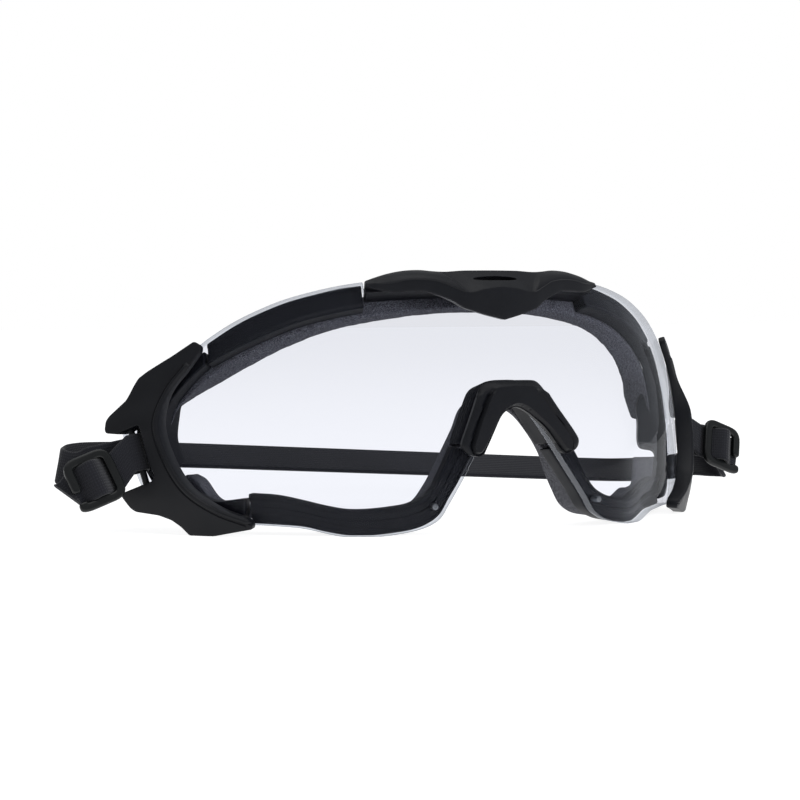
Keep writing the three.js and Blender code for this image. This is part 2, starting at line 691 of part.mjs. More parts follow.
// The origin is below the middle of the whole object's box.
const middle = new THREE.Box3().setFromObject(stance, true).getCenter(new THREE.Vector3());
stance.position.set(-middle.x, -middle.y, 0);

export default goggles;
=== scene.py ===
# %% [markdown]
# # Sports protective goggles
# A clear wrap lens, a black frame behind it, two side arms and an elastic head strap.
# Each piece is made on its own in mesh code, and all but the strap loops and tails then ride on the body that
# carries them.
# Lengths are written in millimetres, and turned into metres when a mesh is made.

# %% Load the frame
import math

import bmesh
import bpy
import numpy as np
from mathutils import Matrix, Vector
from mathutils.geometry import delaunay_2d_cdt


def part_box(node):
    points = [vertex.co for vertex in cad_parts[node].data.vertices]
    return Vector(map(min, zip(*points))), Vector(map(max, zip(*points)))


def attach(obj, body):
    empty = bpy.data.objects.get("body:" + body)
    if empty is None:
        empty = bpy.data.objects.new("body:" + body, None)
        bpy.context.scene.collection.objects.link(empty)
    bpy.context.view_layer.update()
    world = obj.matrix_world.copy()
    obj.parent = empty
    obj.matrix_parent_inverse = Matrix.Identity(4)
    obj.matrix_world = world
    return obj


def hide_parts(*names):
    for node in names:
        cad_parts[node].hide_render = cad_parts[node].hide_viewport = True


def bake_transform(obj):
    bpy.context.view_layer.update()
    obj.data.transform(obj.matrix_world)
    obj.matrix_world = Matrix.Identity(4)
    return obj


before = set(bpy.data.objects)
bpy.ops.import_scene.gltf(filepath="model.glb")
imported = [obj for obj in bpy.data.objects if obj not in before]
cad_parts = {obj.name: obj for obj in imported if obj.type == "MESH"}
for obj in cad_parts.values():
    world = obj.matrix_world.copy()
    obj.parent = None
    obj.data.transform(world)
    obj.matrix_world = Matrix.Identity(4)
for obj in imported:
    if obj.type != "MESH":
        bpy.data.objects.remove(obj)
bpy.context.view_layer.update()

MM = 0.001

# %% [markdown]
# ## The lens chart
# The lens is part of a barrel: it curves tightly round an upright axis and gently up and down.
# Nearly every piece follows it, so a point is given as (s, z, t): how far round the lens,
# how high, and how far out of its front face. One function turns that into a place.
# The whole front leans back by 12 degrees, because it stands on its lobes and arms.

# %% Lens chart
LENS_RADIUS = 98.0
RISE_RADIUS = 130.0
MID_HEIGHT = 35.0
LENS_THICKNESS = 2.2
LEAN = math.radians(12)
STAND_HEIGHT = 2.0
STRAP_DEPTH = 64.0

lens_low, lens_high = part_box("lens")
band_low, band_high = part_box("strap_band")
OFFSET = np.array([
    (lens_low[0] + lens_high[0]) / 2 / MM,
    (band_low[1] + band_high[1]) / 2 / MM - STRAP_DEPTH,
    0.0,
])
print("offset of the front in mm:", OFFSET.round(3))


def on_lens(points):
    """Places (s, z, t) rows, in mm, in the goggles' own frame, still in mm."""
    s, z, t = np.asarray(points, float).T
    slope = (z - MID_HEIGHT) / RISE_RADIUS
    level = np.sqrt(1 - slope * slope)
    radius = LENS_RADIUS - RISE_RADIUS * (1 - level) + t * level
    x = radius * np.sin(s / LENS_RADIUS)
    y = LENS_RADIUS - radius * np.cos(s / LENS_RADIUS)
    up = z + t * slope
    back = y * math.cos(LEAN) + up * math.sin(LEAN)
    height = up * math.cos(LEAN) - y * math.sin(LEAN) + STAND_HEIGHT
    return np.stack([x, back, height], axis=1) + OFFSET


print("middle of the lens in mm:", on_lens([(0, MID_HEIGHT, 0)])[0].round(1))

# %% [markdown]
# ## Mesh helpers
# Three ways of making a closed mesh are enough here. A loft joins a row of rings, and suits
# rims, foam and straps. A plate is an outline filled with triangles, whose front can be
# sculpted by a height function, and suits arms, clips and the lens. A turned piece suits pegs.
#
# All three start from curves. A centripetal curve passes through every point it is given
# and never loops between them, so an edge can be drawn with few points.

# %% Curves
def curve(points):
    """A smooth centripetal curve through points, as a function of 0 to 1."""
    p = np.asarray(points, float)
    p = np.vstack([2 * p[0] - p[1], p, 2 * p[-1] - p[-2]])
    spans = len(p) - 3

    def at(u):
        place = min(max(u, 0.0), 1.0) * spans
        i = min(int(place), spans - 1)
        w = place - i
        a, b, c, d = p[i:i + 4]
        g = [max(np.linalg.norm(q - r), 1e-6) ** 0.5 for q, r in ((b, a), (c, b), (d, c))]
        m1 = ((b - a) / g[0] - (c - a) / (g[0] + g[1]) + (c - b) / g[1]) * g[1]
        m2 = ((c - b) / g[1] - (d - b) / (g[1] + g[2]) + (d - c) / g[2]) * g[1]
        return (b + m1 * w + (-3 * b + 3 * c - 2 * m1 - m2) * w ** 2
                + (2 * b - 2 * c + m1 + m2) * w ** 3)

    return at


def smooth_step(value, low, high):
    w = np.clip((np.asarray(value, float) - low) / (high - low), 0, 1)
    return w * w * (3 - 2 * w)


def both_sides(half):
    """The left half of an edge is the mirror of the right half, which starts at the middle."""
    return [(-p[0], *p[1:]) for p in half[:0:-1]] + list(half)


def flip(points):
    """Mirror image about the middle of the goggles, for points placed in mm."""
    mirrored = np.array(points, float)
    mirrored[:, 0] = 2 * OFFSET[0] - mirrored[:, 0]
    return mirrored


print("halfway along a test curve:", curve([(0, 0), (1, 1), (2, 0)])(0.5))

# %% [markdown]
# The design is the same on both sides, but the right nose leg is drawn a little further out
# than the mirror image of the left. That is an adjustment of the drawn model, not a known
# feature of such goggles. A function that fades out upwards and sideways moves every piece
# of that leg together, so that the lens edge, rim, foam and clip stay in line.

# %% Nose leg
NOSE_SPREAD = 4.6
LEG_INNER, LEG_OUTER, LEG_UP = (2, 24), (30, 56), (24, 40)


def spread_right_leg(points):
    """Pushes the right nose leg outwards, fading to nothing round it."""
    moved = np.array(points, float)
    across = moved[:, 0] - OFFSET[0]
    share = smooth_step(across, *LEG_INNER) * (1 - smooth_step(across, *LEG_OUTER))
    moved[:, 0] += NOSE_SPREAD * share * (1 - smooth_step(moved[:, 2], *LEG_UP))
    return moved


print("the right nose leg stands", NOSE_SPREAD, "mm further out at its foot")

# %% [markdown]
# A loft is a skin over rings that all have the same number of points. The rings of a rim are
# four-cornered, and their corners are rounded so that the finished edge catches the light.

# %% Lofts
def soft_ring(corners, radius, fills, arc=3):
    """A ring through corners with rounded edges, and extra points along each side."""
    n = len(corners)
    reach = []
    for i in range(n):
        sides = [corners[i - 1] - corners[i], corners[(i + 1) % n] - corners[i]]
        reach.append([d / np.linalg.norm(d) * min(radius, 0.45 * np.linalg.norm(d)) for d in sides])
    ring = []
    for i, c in enumerate(corners):
        start, end = c + reach[i][0], c + reach[i][1]
        for k in range(arc + 1):
            w = k / arc
            ring.append((1 - w) ** 2 * start + 2 * w * (1 - w) * c + w * w * end)
        follow = corners[(i + 1) % n] + reach[(i + 1) % n][0]
        for k in range(1, fills[i] + 1):
            ring.append(end + (follow - end) * k / (fills[i] + 1))
    return np.array(ring)


def loft(rings):
    """Points and faces of a closed skin over a row of rings, with its two ends capped."""
    n = len(rings[0])
    points = np.vstack(rings)
    faces = []
    for i in range(len(rings) - 1):
        for j in range(n):
            k = (j + 1) % n
            faces.append((i * n + j, i * n + k, (i + 1) * n + k, (i + 1) * n + j))
    ends = [(0, rings[0]), ((len(rings) - 1) * n, rings[-1])]
    for first, ring in ends:
        centre = len(points)
        points = np.vstack([points, ring.mean(axis=0)])
        faces += [(first + j, first + (j + 1) % n, centre) for j in range(n)]
    return points, faces


def strip(edges, stations, radius, fills=(6, 2, 4, 2), end_radius=0.6, relief=None, ribs=None):
    """A soft-edged strip between four edges on the lens chart: front upper, front lower,
    rear lower and rear upper. relief(u, a) lifts its front, u along it and a across it.
    ribs (number, height) run lengthwise on the side from front lower to rear lower."""
    curves = [curve(e) for e in edges]
    length = sum(np.linalg.norm(np.subtract(*p)) for p in zip(edges[0][1:], edges[0][:-1]))
    turns = [k / 3 * math.pi / 2 for k in range(3)]
    head = [(end_radius * (1 - math.cos(w)) / length, end_radius * (1 - math.sin(w))) for w in turns]
    edge = end_radius / length
    body = [(edge + (1 - 2 * edge) * i / stations, 0) for i in range(stations + 1)]
    rows = head + body + [(1 - u, inset) for u, inset in reversed(head)]
    rings = []
    for u, inset in rows:
        corners = np.array([c(u) for c in curves])
        ring = soft_ring(corners, radius, fills)
        across = corners[1] - corners[0]
        depth = corners[3, 2] - corners[0, 2]
        share = np.clip((ring - corners[0]) @ across / (across @ across), 0, 1)
        if relief is not None:
            front = 1 - smooth_step((ring[:, 2] - corners[0, 2]) / depth, 0.05, 0.3)
            ring[:, 2] += front * np.array([relief(u, a) for a in share])
        if ribs is not None:
            back = (ring[:, 2] - corners[0, 2]) / depth
            wave = ribs[1] * np.abs(np.sin(math.pi * ribs[0] * back)) * smooth_step(share, 0.9, 0.98)
            ring += np.outer(wave * smooth_step(back, 0.02, 0.08), across / np.linalg.norm(across))
        if inset:
            out = ring - ring.mean(axis=0)
            size = np.linalg.norm(out, axis=1, keepdims=True)
            ring = ring - out / size * np.minimum(inset, 0.7 * size)
        rings.append(on_lens(ring))
    return loft(rings)


def layers(upper, lower, front, rear):
    """The four edges of a strip of even depth."""
    at = lambda points, t: [(s, z, t) for s, z in points]
    return [at(upper, front), at(lower, front), at(lower, rear), at(upper, rear)]


print("a loft of two rings of 8 has", len(loft([np.eye(8, 3), np.eye(8, 3) + 1])[1]), "faces")

# %% [markdown]
# A plate could be modelled by extruding an outline, but then its face would be flat. Here the
# outline is filled with a triangle mesh instead, with closer rows of points at the edge and
# along any crease, and each point is then raised by a height function.

# %% Plates
def soft_outline(points, radius, step):
    """A closed outline with rounded corners, cut into steps."""
    p = np.asarray(points, float)
    n = len(p)
    out = []
    for i in range(n):
        c, before, after = p[i], p[i - 1], p[(i + 1) % n]
        r0, r1 = [min(radius, 0.45 * np.linalg.norm(q - c)) for q in (before, after)]
        start = c + (before - c) / np.linalg.norm(before - c) * r0
        end = c + (after - c) / np.linalg.norm(after - c) * r1
        arriving, leaving = [(q - r) / np.linalg.norm(q - r) for q, r in ((c, before), (after, c))]
        count = 1 if np.linalg.norm(arriving - leaving) < 0.08 else 4
        steps = np.arange(count + 1) / count
        out += [(1 - w) ** 2 * start + 2 * w * (1 - w) * c + w * w * end for w in steps]
    dense = []
    for a, b in zip(out, out[1:] + out[:1]):
        parts = max(1, round(np.linalg.norm(b - a) / step))
        dense += [a + (b - a) * k / parts for k in range(parts)]
    keep = [q for q, r in zip(dense, dense[1:] + dense[:1]) if np.linalg.norm(q - r) > 1e-3]
    return np.array(keep)


def edge_distance(points, loops, closed=True):
    best = np.full(len(points), 1e9)
    for loop in loops:
        ends = np.roll(loop, -1, axis=0) if closed else loop[1:]
        starts = loop if closed else loop[:-1]
        for a, b in zip(starts, ends):
            run = b - a
            w = np.clip((points - a) @ run / max(run @ run, 1e-12), 0, 1)
            best = np.minimum(best, np.linalg.norm(points - a - w[:, None] * run, axis=1))
    return best


def inside(points, loops):
    odd = np.zeros(len(points), bool)
    x, y = points.T
    for loop in loops:
        for (x0, y0), (x1, y1) in zip(loop, np.roll(loop, -1, axis=0)):
            if y0 != y1:
                odd ^= ((y0 > y) != (y1 > y)) & (x < (x1 - x0) * (y - y0) / (y1 - y0) + x0)
    return odd


def plate(loops, pitch, bevel, front, rear, place, creases=()):
    """An outline, with any holes, made into a closed plate. front and rear give its depth at
    (points, distance from the edge); place puts (a, b, depth) rows into the goggles' frame."""
    rings = [bevel * k for k in (0.1, 0.35, 0.7, 1.1)]
    inner = []
    for loop in loops:
        ahead = np.roll(loop, -1, axis=0) - np.roll(loop, 1, axis=0)
        side = np.stack([-ahead[:, 1], ahead[:, 0]], axis=1)
        side /= np.linalg.norm(side, axis=1, keepdims=True)
        for r in rings:
            for sign in (1, -1):
                moved = loop + sign * r * side
                good = inside(moved, loops) & (edge_distance(moved, loops) > 0.93 * r)
                inner.append(moved[good])
    for line in creases:
        run = np.gradient(line, axis=0)
        side = np.stack([-run[:, 1], run[:, 0]], axis=1)
        side /= np.linalg.norm(side, axis=1, keepdims=True)
        for r in (-0.35, -0.12, 0.12, 0.35):
            moved = line + r * side
            inner.append(moved[inside(moved, loops) & (edge_distance(moved, loops) > 1.3 * bevel)])
    near = np.vstack(inner)
    whole = np.vstack(loops)
    low, high = whole.min(axis=0), whole.max(axis=0)
    rows = np.arange(low[1], high[1], pitch * 0.87)
    grid = np.array([
        (x + (i % 2) * pitch / 2, y) for i, y in enumerate(rows) for x in np.arange(low[0], high[0], pitch)
    ])
    grid = grid[inside(grid, loops)]
    grid = grid[edge_distance(grid, loops) > rings[-1] + 0.35 * pitch]
    if creases:
        grid = grid[edge_distance(grid, creases, closed=False) > 0.35 + 0.3 * pitch]
    count = 0
    edges = []
    for loop in loops:
        edges += [(count + i, count + (i + 1) % len(loop)) for i in range(len(loop))]
        count += len(loop)
    flat = np.vstack([whole, near, grid])
    made = delaunay_2d_cdt([Vector(p) for p in flat], edges, [], 0, 1e-5)
    spots = np.array([tuple(v) for v in made[0]])
    triangles = np.array(made[2])
    triangles = triangles[inside(spots[triangles].mean(axis=1), loops)]
    home = {i: k for k, ids in enumerate(made[3]) for i in ids}
    distance = edge_distance(spots, loops)
    n = len(spots)
    points = np.vstack([
        place(np.column_stack([spots, front(spots, distance)])),
        place(np.column_stack([spots, rear(spots, distance)])),
    ])
    faces = [tuple(t) for t in triangles] + [tuple(t[::-1] + n) for t in triangles]
    edge_face = [bool((distance[t] < 0.8 * bevel).all()) for t in triangles] * 2
    for i, j in edges:
        a, b = home[i], home[j]
        if a != b:
            faces.append((a, b, b + n, a + n))
            edge_face.append(True)
    return points, faces, edge_face


def rounding(distance, radius):
    """How far a soft edge falls below the face, at a distance in from the outline."""
    d = np.clip(distance, 0, radius)
    return radius - np.sqrt(np.maximum(radius ** 2 - (radius - d) ** 2, 0))


print("a 0.4 mm edge falls", rounding(np.array([0.0]), 0.4)[0], "mm at the outline")

# %% [markdown]
# Round pins are turned, as on a lathe: a profile of radius and distance goes round an axis.

# %% Turned pieces
def turned(profile, start, axis, sides=24):
    """A closed piece turned about an axis; profile rows are (radius, distance along it)."""
    axis = np.asarray(axis, float) / np.linalg.norm(axis)
    first = np.cross(axis, (0, 1, 0) if abs(axis[1]) < 0.9 else (1, 0, 0))
    first /= np.linalg.norm(first)
    second = np.cross(axis, first)
    angles = np.arange(sides) / sides * 2 * math.pi
    circle = np.outer(np.cos(angles), first) + np.outer(np.sin(angles), second)
    return loft([start + axis * h + circle * r for r, h in profile])


print("a turned pin has", len(turned([(1, 0), (1, 2)], np.zeros(3), (0, 0, 1))[0]), "points")

# %% [markdown]
# Each mesh becomes an object once, in one place: it is put in metres, its normals are made
# to face outwards, and only its real edges stay sharp. Then it is given to the body that
# carries it, and it takes the place of the plain solid of the same name.

# %% Make an object
def make(name, points, faces, finishes, edge_face=None, smooth=40):
    mesh = bpy.data.meshes.new(name)
    corners = [tuple(p) for p in np.asarray(points) * MM]
    mesh.from_pydata(corners, [], [tuple(int(i) for i in f) for f in faces])
    for finish in finishes:
        mesh.materials.append(finish)
    if edge_face is not None:
        mesh.polygons.foreach_set("material_index", [int(e) for e in edge_face])
    work = bmesh.new()
    work.from_mesh(mesh)
    bmesh.ops.remove_doubles(work, verts=work.verts, dist=1e-7)
    bmesh.ops.recalc_face_normals(work, faces=work.faces)
    work.to_mesh(mesh)
    work.free()
    mesh.polygons.foreach_set("use_smooth", [True] * len(mesh.polygons))
    mesh.set_sharp_from_angle(angle=math.radians(smooth))
    piece = bpy.data.objects.new(name, mesh)
    bpy.context.scene.collection.objects.link(piece)
    return piece


def fit(piece, body, slot, *nodes):
    """The piece rides on its body and stands for its CAD nodes. The slot argument is not used."""
    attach(piece, body)
    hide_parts(*nodes)
    print(f"{piece.name}: {len(piece.data.vertices)} vertices on {body}")
    return piece


def fit_pair(name, points, faces, finishes, slot, edge_face=None, smooth=40):
    """A piece on the right and its mirror image on the left."""
    pair = []
    for side, placed in (("right", spread_right_leg(points)), ("left", flip(points))):
        piece = make(f"{side}_{name}_fine", placed, faces, finishes, edge_face, smooth)
        pair.append(fit(piece, "front", slot, f"{side}_{name}"))
    return pair


print("pieces are made in mm and scaled by", MM)

# %% [markdown]
# ## Finishes
# The black mouldings are spark-eroded plastic: a fine even grain, a little sheen, and slight
# smears where hands hold them. A bump from noise gives the grain, and a slower noise moves
# the roughness and colour. The same recipe serves plastic and rubber at other scales.

# %% Moulded finishes
def new_finish(name):
    """A new material, its node tree and its main shader."""
    finish = bpy.data.materials.new(name)
    finish.use_nodes = True
    return finish, finish.node_tree, finish.node_tree.nodes["Principled BSDF"]


def moulded(name, colour, rough, grain, depth, specular):
    finish, tree, shader = new_finish(name)
    place = tree.nodes.new("ShaderNodeTexCoord")
    fine = tree.nodes.new("ShaderNodeTexNoise")
    fine.inputs["Scale"].default_value = grain
    fine.inputs["Detail"].default_value = 3
    slow = tree.nodes.new("ShaderNodeTexNoise")
    slow.inputs["Scale"].default_value = grain / 40
    slow.inputs["Detail"].default_value = 4
    tint = tree.nodes.new("ShaderNodeMapRange")
    tint.inputs["To Min"].default_value = 0.8
    tint.inputs["To Max"].default_value = 1.25
    mixed = tree.nodes.new("ShaderNodeVectorMath")
    mixed.operation = "SCALE"
    mixed.inputs[0].default_value = colour
    gloss = tree.nodes.new("ShaderNodeMapRange")
    gloss.inputs["From Min"].default_value = 0.3
    gloss.inputs["From Max"].default_value = 0.7
    gloss.inputs["To Min"].default_value = rough - 0.07
    gloss.inputs["To Max"].default_value = rough + 0.09
    bump = tree.nodes.new("ShaderNodeBump")
    bump.inputs["Distance"].default_value = depth * MM
    bump.inputs["Strength"].default_value = 0.6
    link = tree.links.new
    for noise in (fine, slow):
        link(place.outputs["Object"], noise.inputs["Vector"])
    link(slow.outputs["Fac"], tint.inputs["Value"])
    link(tint.outputs["Result"], mixed.inputs["Scale"])
    link(mixed.outputs["Vector"], shader.inputs["Base Color"])
    link(slow.outputs["Fac"], gloss.inputs["Value"])
    link(gloss.outputs["Result"], shader.inputs["Roughness"])
    link(fine.outputs["Fac"], bump.inputs["Height"])
    link(bump.outputs["Normal"], shader.inputs["Normal"])
    shader.inputs["Specular IOR Level"].default_value = specular
    return finish


black_frame = moulded("black frame plastic", (0.0035, 0.004, 0.0058), 0.44, 5200, 0.02, 0.22)
black_rubber = moulded("soft rim rubber", (0.0045, 0.0052, 0.0078), 0.5, 4200, 0.02, 0.24)
slide_plastic = moulded("satin slide plastic", (0.0035, 0.0042, 0.0045), 0.32, 5200, 0.015, 0.34)
print("mouldings:", black_frame.name, black_rubber.name, slide_plastic.name)

# %% [markdown]
# The lens is clear polycarbonate with a faint cool tint. It is thin, so bending of light can
# be left out: a transparent shader carries the tint, and a mix adds the gloss that grows
# towards the sides, where the lens turns edge-on. The mix follows the fifth power of how far
# the face turns away, as gloss on real plastic does, and it is the same from both sides of
# the face, which a Fresnel node is not. The cut edge pipes light, so it is paler.

# %% Clear finishes
GLOSS_POWER = 5


def clear(name, tint, gloss_rough, base, boost):
    finish, tree, shader = new_finish(name)
    shader.inputs["Base Color"].default_value = (*base, 1)
    shader.inputs["Roughness"].default_value = gloss_rough
    shader.inputs["Metallic"].default_value = 1.0
    through = tree.nodes.new("ShaderNodeBsdfTransparent")
    through.inputs["Color"].default_value = (*tint, 1)
    edge_on = tree.nodes.new("ShaderNodeLayerWeight")
    edge_on.inputs["Blend"].default_value = 0.5
    steep = tree.nodes.new("ShaderNodeMath")
    steep.operation = "POWER"
    steep.inputs[1].default_value = GLOSS_POWER
    share = tree.nodes.new("ShaderNodeMath")
    share.operation = "MULTIPLY_ADD"
    share.inputs[1].default_value = boost[0]
    share.inputs[2].default_value = boost[1]
    share.use_clamp = True
    mixer = tree.nodes.new("ShaderNodeMixShader")
    link = tree.links.new
    link(edge_on.outputs["Facing"], steep.inputs[0])
    link(steep.outputs["Value"], share.inputs[0])
    link(share.outputs["Value"], mixer.inputs["Fac"])
    link(through.outputs["BSDF"], mixer.inputs[1])
    link(shader.outputs["BSDF"], mixer.inputs[2])
    link(mixer.outputs["Shader"], tree.nodes["Material Output"].inputs["Surface"])
    return finish


clear_lens = clear("clear lens", (0.876, 0.882, 0.908), 0.03, (0.9, 0.92, 0.95), (0.45, 0.004))
lens_edge = clear("lens cut edge", (0.8, 0.82, 0.85), 0.2, (0.5, 0.52, 0.56), (0.6, 0.22))
print("clear finishes:", clear_lens.name, lens_edge.name)

# %% [markdown]
# Open-cell foam is thousands of small pits. A Voronoi pattern gives the pits, and a noise
# breaks them up. The foam is charcoal with lighter flecks where cell walls catch the light.

# %% Foam finish
def foam_finish(name, dark, light):
    finish, tree, shader = new_finish(name)
    place = tree.nodes.new("ShaderNodeTexCoord")
    cells = tree.nodes.new("ShaderNodeTexVoronoi")
    cells.inputs["Scale"].default_value = 2600
    flecks = tree.nodes.new("ShaderNodeTexNoise")
    flecks.inputs["Scale"].default_value = 3600
    flecks.inputs["Detail"].default_value = 3
    ramp = tree.nodes.new("ShaderNodeValToRGB")
    ramp.color_ramp.elements[0].position = 0.38
    ramp.color_ramp.elements[0].color = (*dark, 1)
    ramp.color_ramp.elements[1].position = 0.68
    ramp.color_ramp.elements[1].color = (*light, 1)
    bump = tree.nodes.new("ShaderNodeBump")
    bump.inputs["Distance"].default_value = 0.12 * MM
    bump.inputs["Strength"].default_value = 0.6
    link = tree.links.new
    link(place.outputs["Object"], cells.inputs["Vector"])
    link(place.outputs["Object"], flecks.inputs["Vector"])
    link(flecks.outputs["Fac"], ramp.inputs["Fac"])
    link(ramp.outputs["Color"], shader.inputs["Base Color"])
    link(cells.outputs["Distance"], bump.inputs["Height"])
    link(bump.outputs["Normal"], shader.inputs["Normal"])
    shader.inputs["Roughness"].default_value = 0.95
    shader.inputs["Specular IOR Level"].default_value = 0.15
    return finish


charcoal_foam = foam_finish("charcoal foam", (0.028, 0.028, 0.033), (0.16, 0.162, 0.18))
print("foam:", charcoal_foam.name)

# %% [markdown]
# The strap is woven elastic. Its ribs run along it and its weft crosses it, so the pattern
# has to follow the strap round its bends. Each strap mesh therefore carries its own map,
# in millimetres along and across, and two wave textures on that map make ribs and weft.

# %% Woven finish
def woven(name, dark, light):
    finish, tree, shader = new_finish(name)
    cloth = tree.nodes.new("ShaderNodeUVMap")
    cloth.uv_map = "cloth"
    waves = []
    for direction, pitch in (("X", 0.55), ("Y", 0.8)):
        wave = tree.nodes.new("ShaderNodeTexWave")
        wave.bands_direction = direction
        wave.inputs["Scale"].default_value = math.pi / 10 / pitch
        wave.inputs["Distortion"].default_value = 0.4
        tree.links.new(cloth.outputs["UV"], wave.inputs["Vector"])
        waves.append(wave)
    product = tree.nodes.new("ShaderNodeMath")
    product.operation = "MULTIPLY"
    ramp = tree.nodes.new("ShaderNodeValToRGB")
    ramp.color_ramp.elements[0].color = (*dark, 1)
    ramp.color_ramp.elements[1].color = (*light, 1)
    bump = tree.nodes.new("ShaderNodeBump")
    bump.inputs["Distance"].default_value = 0.12 * MM
    bump.inputs["Strength"].default_value = 0.7
    link = tree.links.new
    link(waves[0].outputs["Fac"], product.inputs[0])
    link(waves[1].outputs["Fac"], product.inputs[1])
    link(product.outputs["Value"], ramp.inputs["Fac"])
    link(ramp.outputs["Color"], shader.inputs["Base Color"])
    link(product.outputs["Value"], bump.inputs["Height"])
    link(bump.outputs["Normal"], shader.inputs["Normal"])
    shader.inputs["Roughness"].default_value = 0.85
    shader.inputs["Specular IOR Level"].default_value = 0.2
    shader.inputs["Sheen Weight"].default_value = 0.15
    return finish


strap_weave = woven("woven strap elastic", (0.0075, 0.008, 0.011), (0.013, 0.0138, 0.0185))
print("strap:", strap_weave.name)

# %% [markdown]
# The pegs are small turned pins of dull bright metal, so they share the moulding recipe with
# the metallic value turned up.

# %% Peg metal
peg_metal = moulded("bright peg metal", (0.16, 0.17, 0.19), 0.35, 3000, 0.01, 0.4)
peg_metal.node_tree.nodes["Principled BSDF"].inputs["Metallic"].default_value = 0.9
print("peg:", peg_metal.name)

# %% [markdown]
# ## The lens
# The lens is one moulding, cut away at the top for the brow cover. It is a plate on the lens
# chart with a small soft edge, because that edge is what catches the light all round it.

# %% Lens
GAP = 0.3
BROW_END = 36.8
BROW_SEAT = 64.0
SEAT_ROOM = 0.35
SEAT_DEPTH = 1.2
LENS_EDGE = 0.4
LENS_TOP = [
    (0, 66.3), (3.2, 66.3), (6.6, 66.4), (11.8, 66.6), (15.6, 66.8), (20, 67), (23, 67.1), (27, 67.2),
    (33, 67.4), (42, 67), (50, 66.1), (59, 64.6), (66, 62.7), (73, 60.3), (80, 57.1), (87, 53.2),
    (93, 50.6), (98, 48.6), (102.4, 45.2), (106.4, 40.4), (108.6, 35.4),
]
LENS_BOTTOM = [
    (0, 33.6), (3.2, 32.6), (6.6, 28.6), (11.8, 19.4), (15.6, 13.2), (19.9, 7), (22.4, 3.7), (26, 1.9),
    (32, 0.8), (42, 0.5), (50, 1.5), (59.5, 4.4), (66.6, 5.8), (73, 6.8), (80, 7.4), (87.4, 8.3),
    (93.2, 11.8), (97.6, 14.4), (101.6, 16.2), (103.4, 18.6), (104.2, 20.5),
]
FLOOR_CUT = 0.15


def lens_outline():
    top, bottom = curve(both_sides(LENS_TOP)), curve(both_sides(LENS_BOTTOM))
    steps = np.arange(241) / 240
    upper = np.array([top(u) for u in steps])
    end = BROW_END + SEAT_ROOM
    left, right = upper[upper[:, 0] < -end], upper[upper[:, 0] > end]
    seat = BROW_SEAT + SEAT_DEPTH
    notch = np.array([(-end, left[-1, 1]), (-end, seat), (end, seat), (end, right[0, 1])])
    lower = np.array([bottom(u) for u in steps[::-1]])
    return soft_outline(np.vstack([left, notch, right, lower]), 0.5, 1.2)


def lens_front(spots, distance):
    return -rounding(distance, LENS_EDGE)


def lens_rear(spots, distance):
    return -LENS_THICKNESS + rounding(distance, LENS_EDGE)


lens_points, lens_faces, lens_rim = plate(
    [lens_outline()], 2.0, LENS_EDGE, lens_front, lens_rear, on_lens)
lens_points[:, 2] = np.maximum(lens_points[:, 2], 0)
lens = make(
    "lens_fine", spread_right_leg(lens_points), lens_faces, [clear_lens, lens_edge], lens_rim, smooth=50)
fit(lens, "front", "clear_lens", "lens")

# %% [markdown]
# ## Frame behind the lens
# Black rims follow the lens edge behind it, and side walls close the gap to the face at the
# temples. Each is a strip with soft edges. A shallow channel along the front of a rim is
# where the lens is seated, and it gives the rim its thin lines of light.

# %% Rims and walls
RIM_FRONT = -2.6
RIM_REAR = -6.6
UPPER_RIM_TOP = [(37.4, 67.5), (43.4, 67.2), (50, 66.3), (58, 65), (66, 62.9), (73, 60.5), (82, 56.3)]
UPPER_RIM_LOW = [(37.4, 61.1), (44, 60.5), (50, 59.7), (58, 58.3), (65.6, 56.2), (73, 53.9), (82, 50.6)]
WALL_OUTER = [
    (82.8, 54.4), (91.5, 50.2), (98, 47.2), (103, 42), (105.8, 35), (104.3, 26.4), (103.9, 24.8), (99, 16.4),
    (90, 11), (76, 8.4),
]
WALL_INNER = [
    (82.6, 50.7), (88.4, 46.8), (93.4, 42.6), (96.2, 38.6), (97.4, 33), (96, 26.4), (95.4, 24.8), (92, 19.8),
    (85, 14.4), (74.8, 13.6),
]
WALL_DEPTHS = [-6.6, -6.6, -8.4, -10.4, -10.6, -10.6, -6.7, -6.6, -6.6, -6.6]
LOWER_RIM_OUTER = [
    (74, 7), (66.6, 5.8), (59.6, 4.5), (54, 2.7), (48, 1.2), (42, 0.6), (35, 0.7), (29.4, 1.2),
    (25.2, 2.4), (21.9, 4.4), (18.9, 8.6), (16.3, 12.2), (13.7, 16.2), (11.1, 20.4),
]
LOWER_RIM_INNER = [
    (74, 14.4), (66.4, 13), (59.6, 10.9), (53.4, 8.8), (47.6, 7.3), (41.5, 6.8), (35.5, 6.9), (30.8, 7.3),
    (27.8, 8.2), (25.2, 9.4), (23, 11.4), (21, 14.6), (18.8, 18.4), (16.8, 22),
]
SADDLE_TOP = [(0, 39), (4.8, 38.7), (8.2, 37.2), (10.8, 33), (13.4, 27.6), (15.7, 22.6)]
SADDLE_LOW = [(0, 35), (3, 34.4), (5.4, 32.6), (7.6, 29.2), (9.6, 25.4), (11.6, 21.8)]
SADDLE_REAR = -9.0


def with_depths(points, depths):
    """An edge on the chart with a depth of its own at each point."""
    return [(s, z, t) for (s, z), t in zip(points, depths)]


def channel(u, a):
    return -0.35 * smooth_step(a, 0.12, 0.2) * (1 - smooth_step(a, 0.8, 0.88))


def twin_channel(u, a):
    ridges = smooth_step(a, 0.1, 0.16) * (1 - smooth_step(a, 0.36, 0.42))
    ridges = ridges + smooth_step(a, 0.56, 0.62) * (1 - smooth_step(a, 0.84, 0.9))
    return -0.4 * ridges


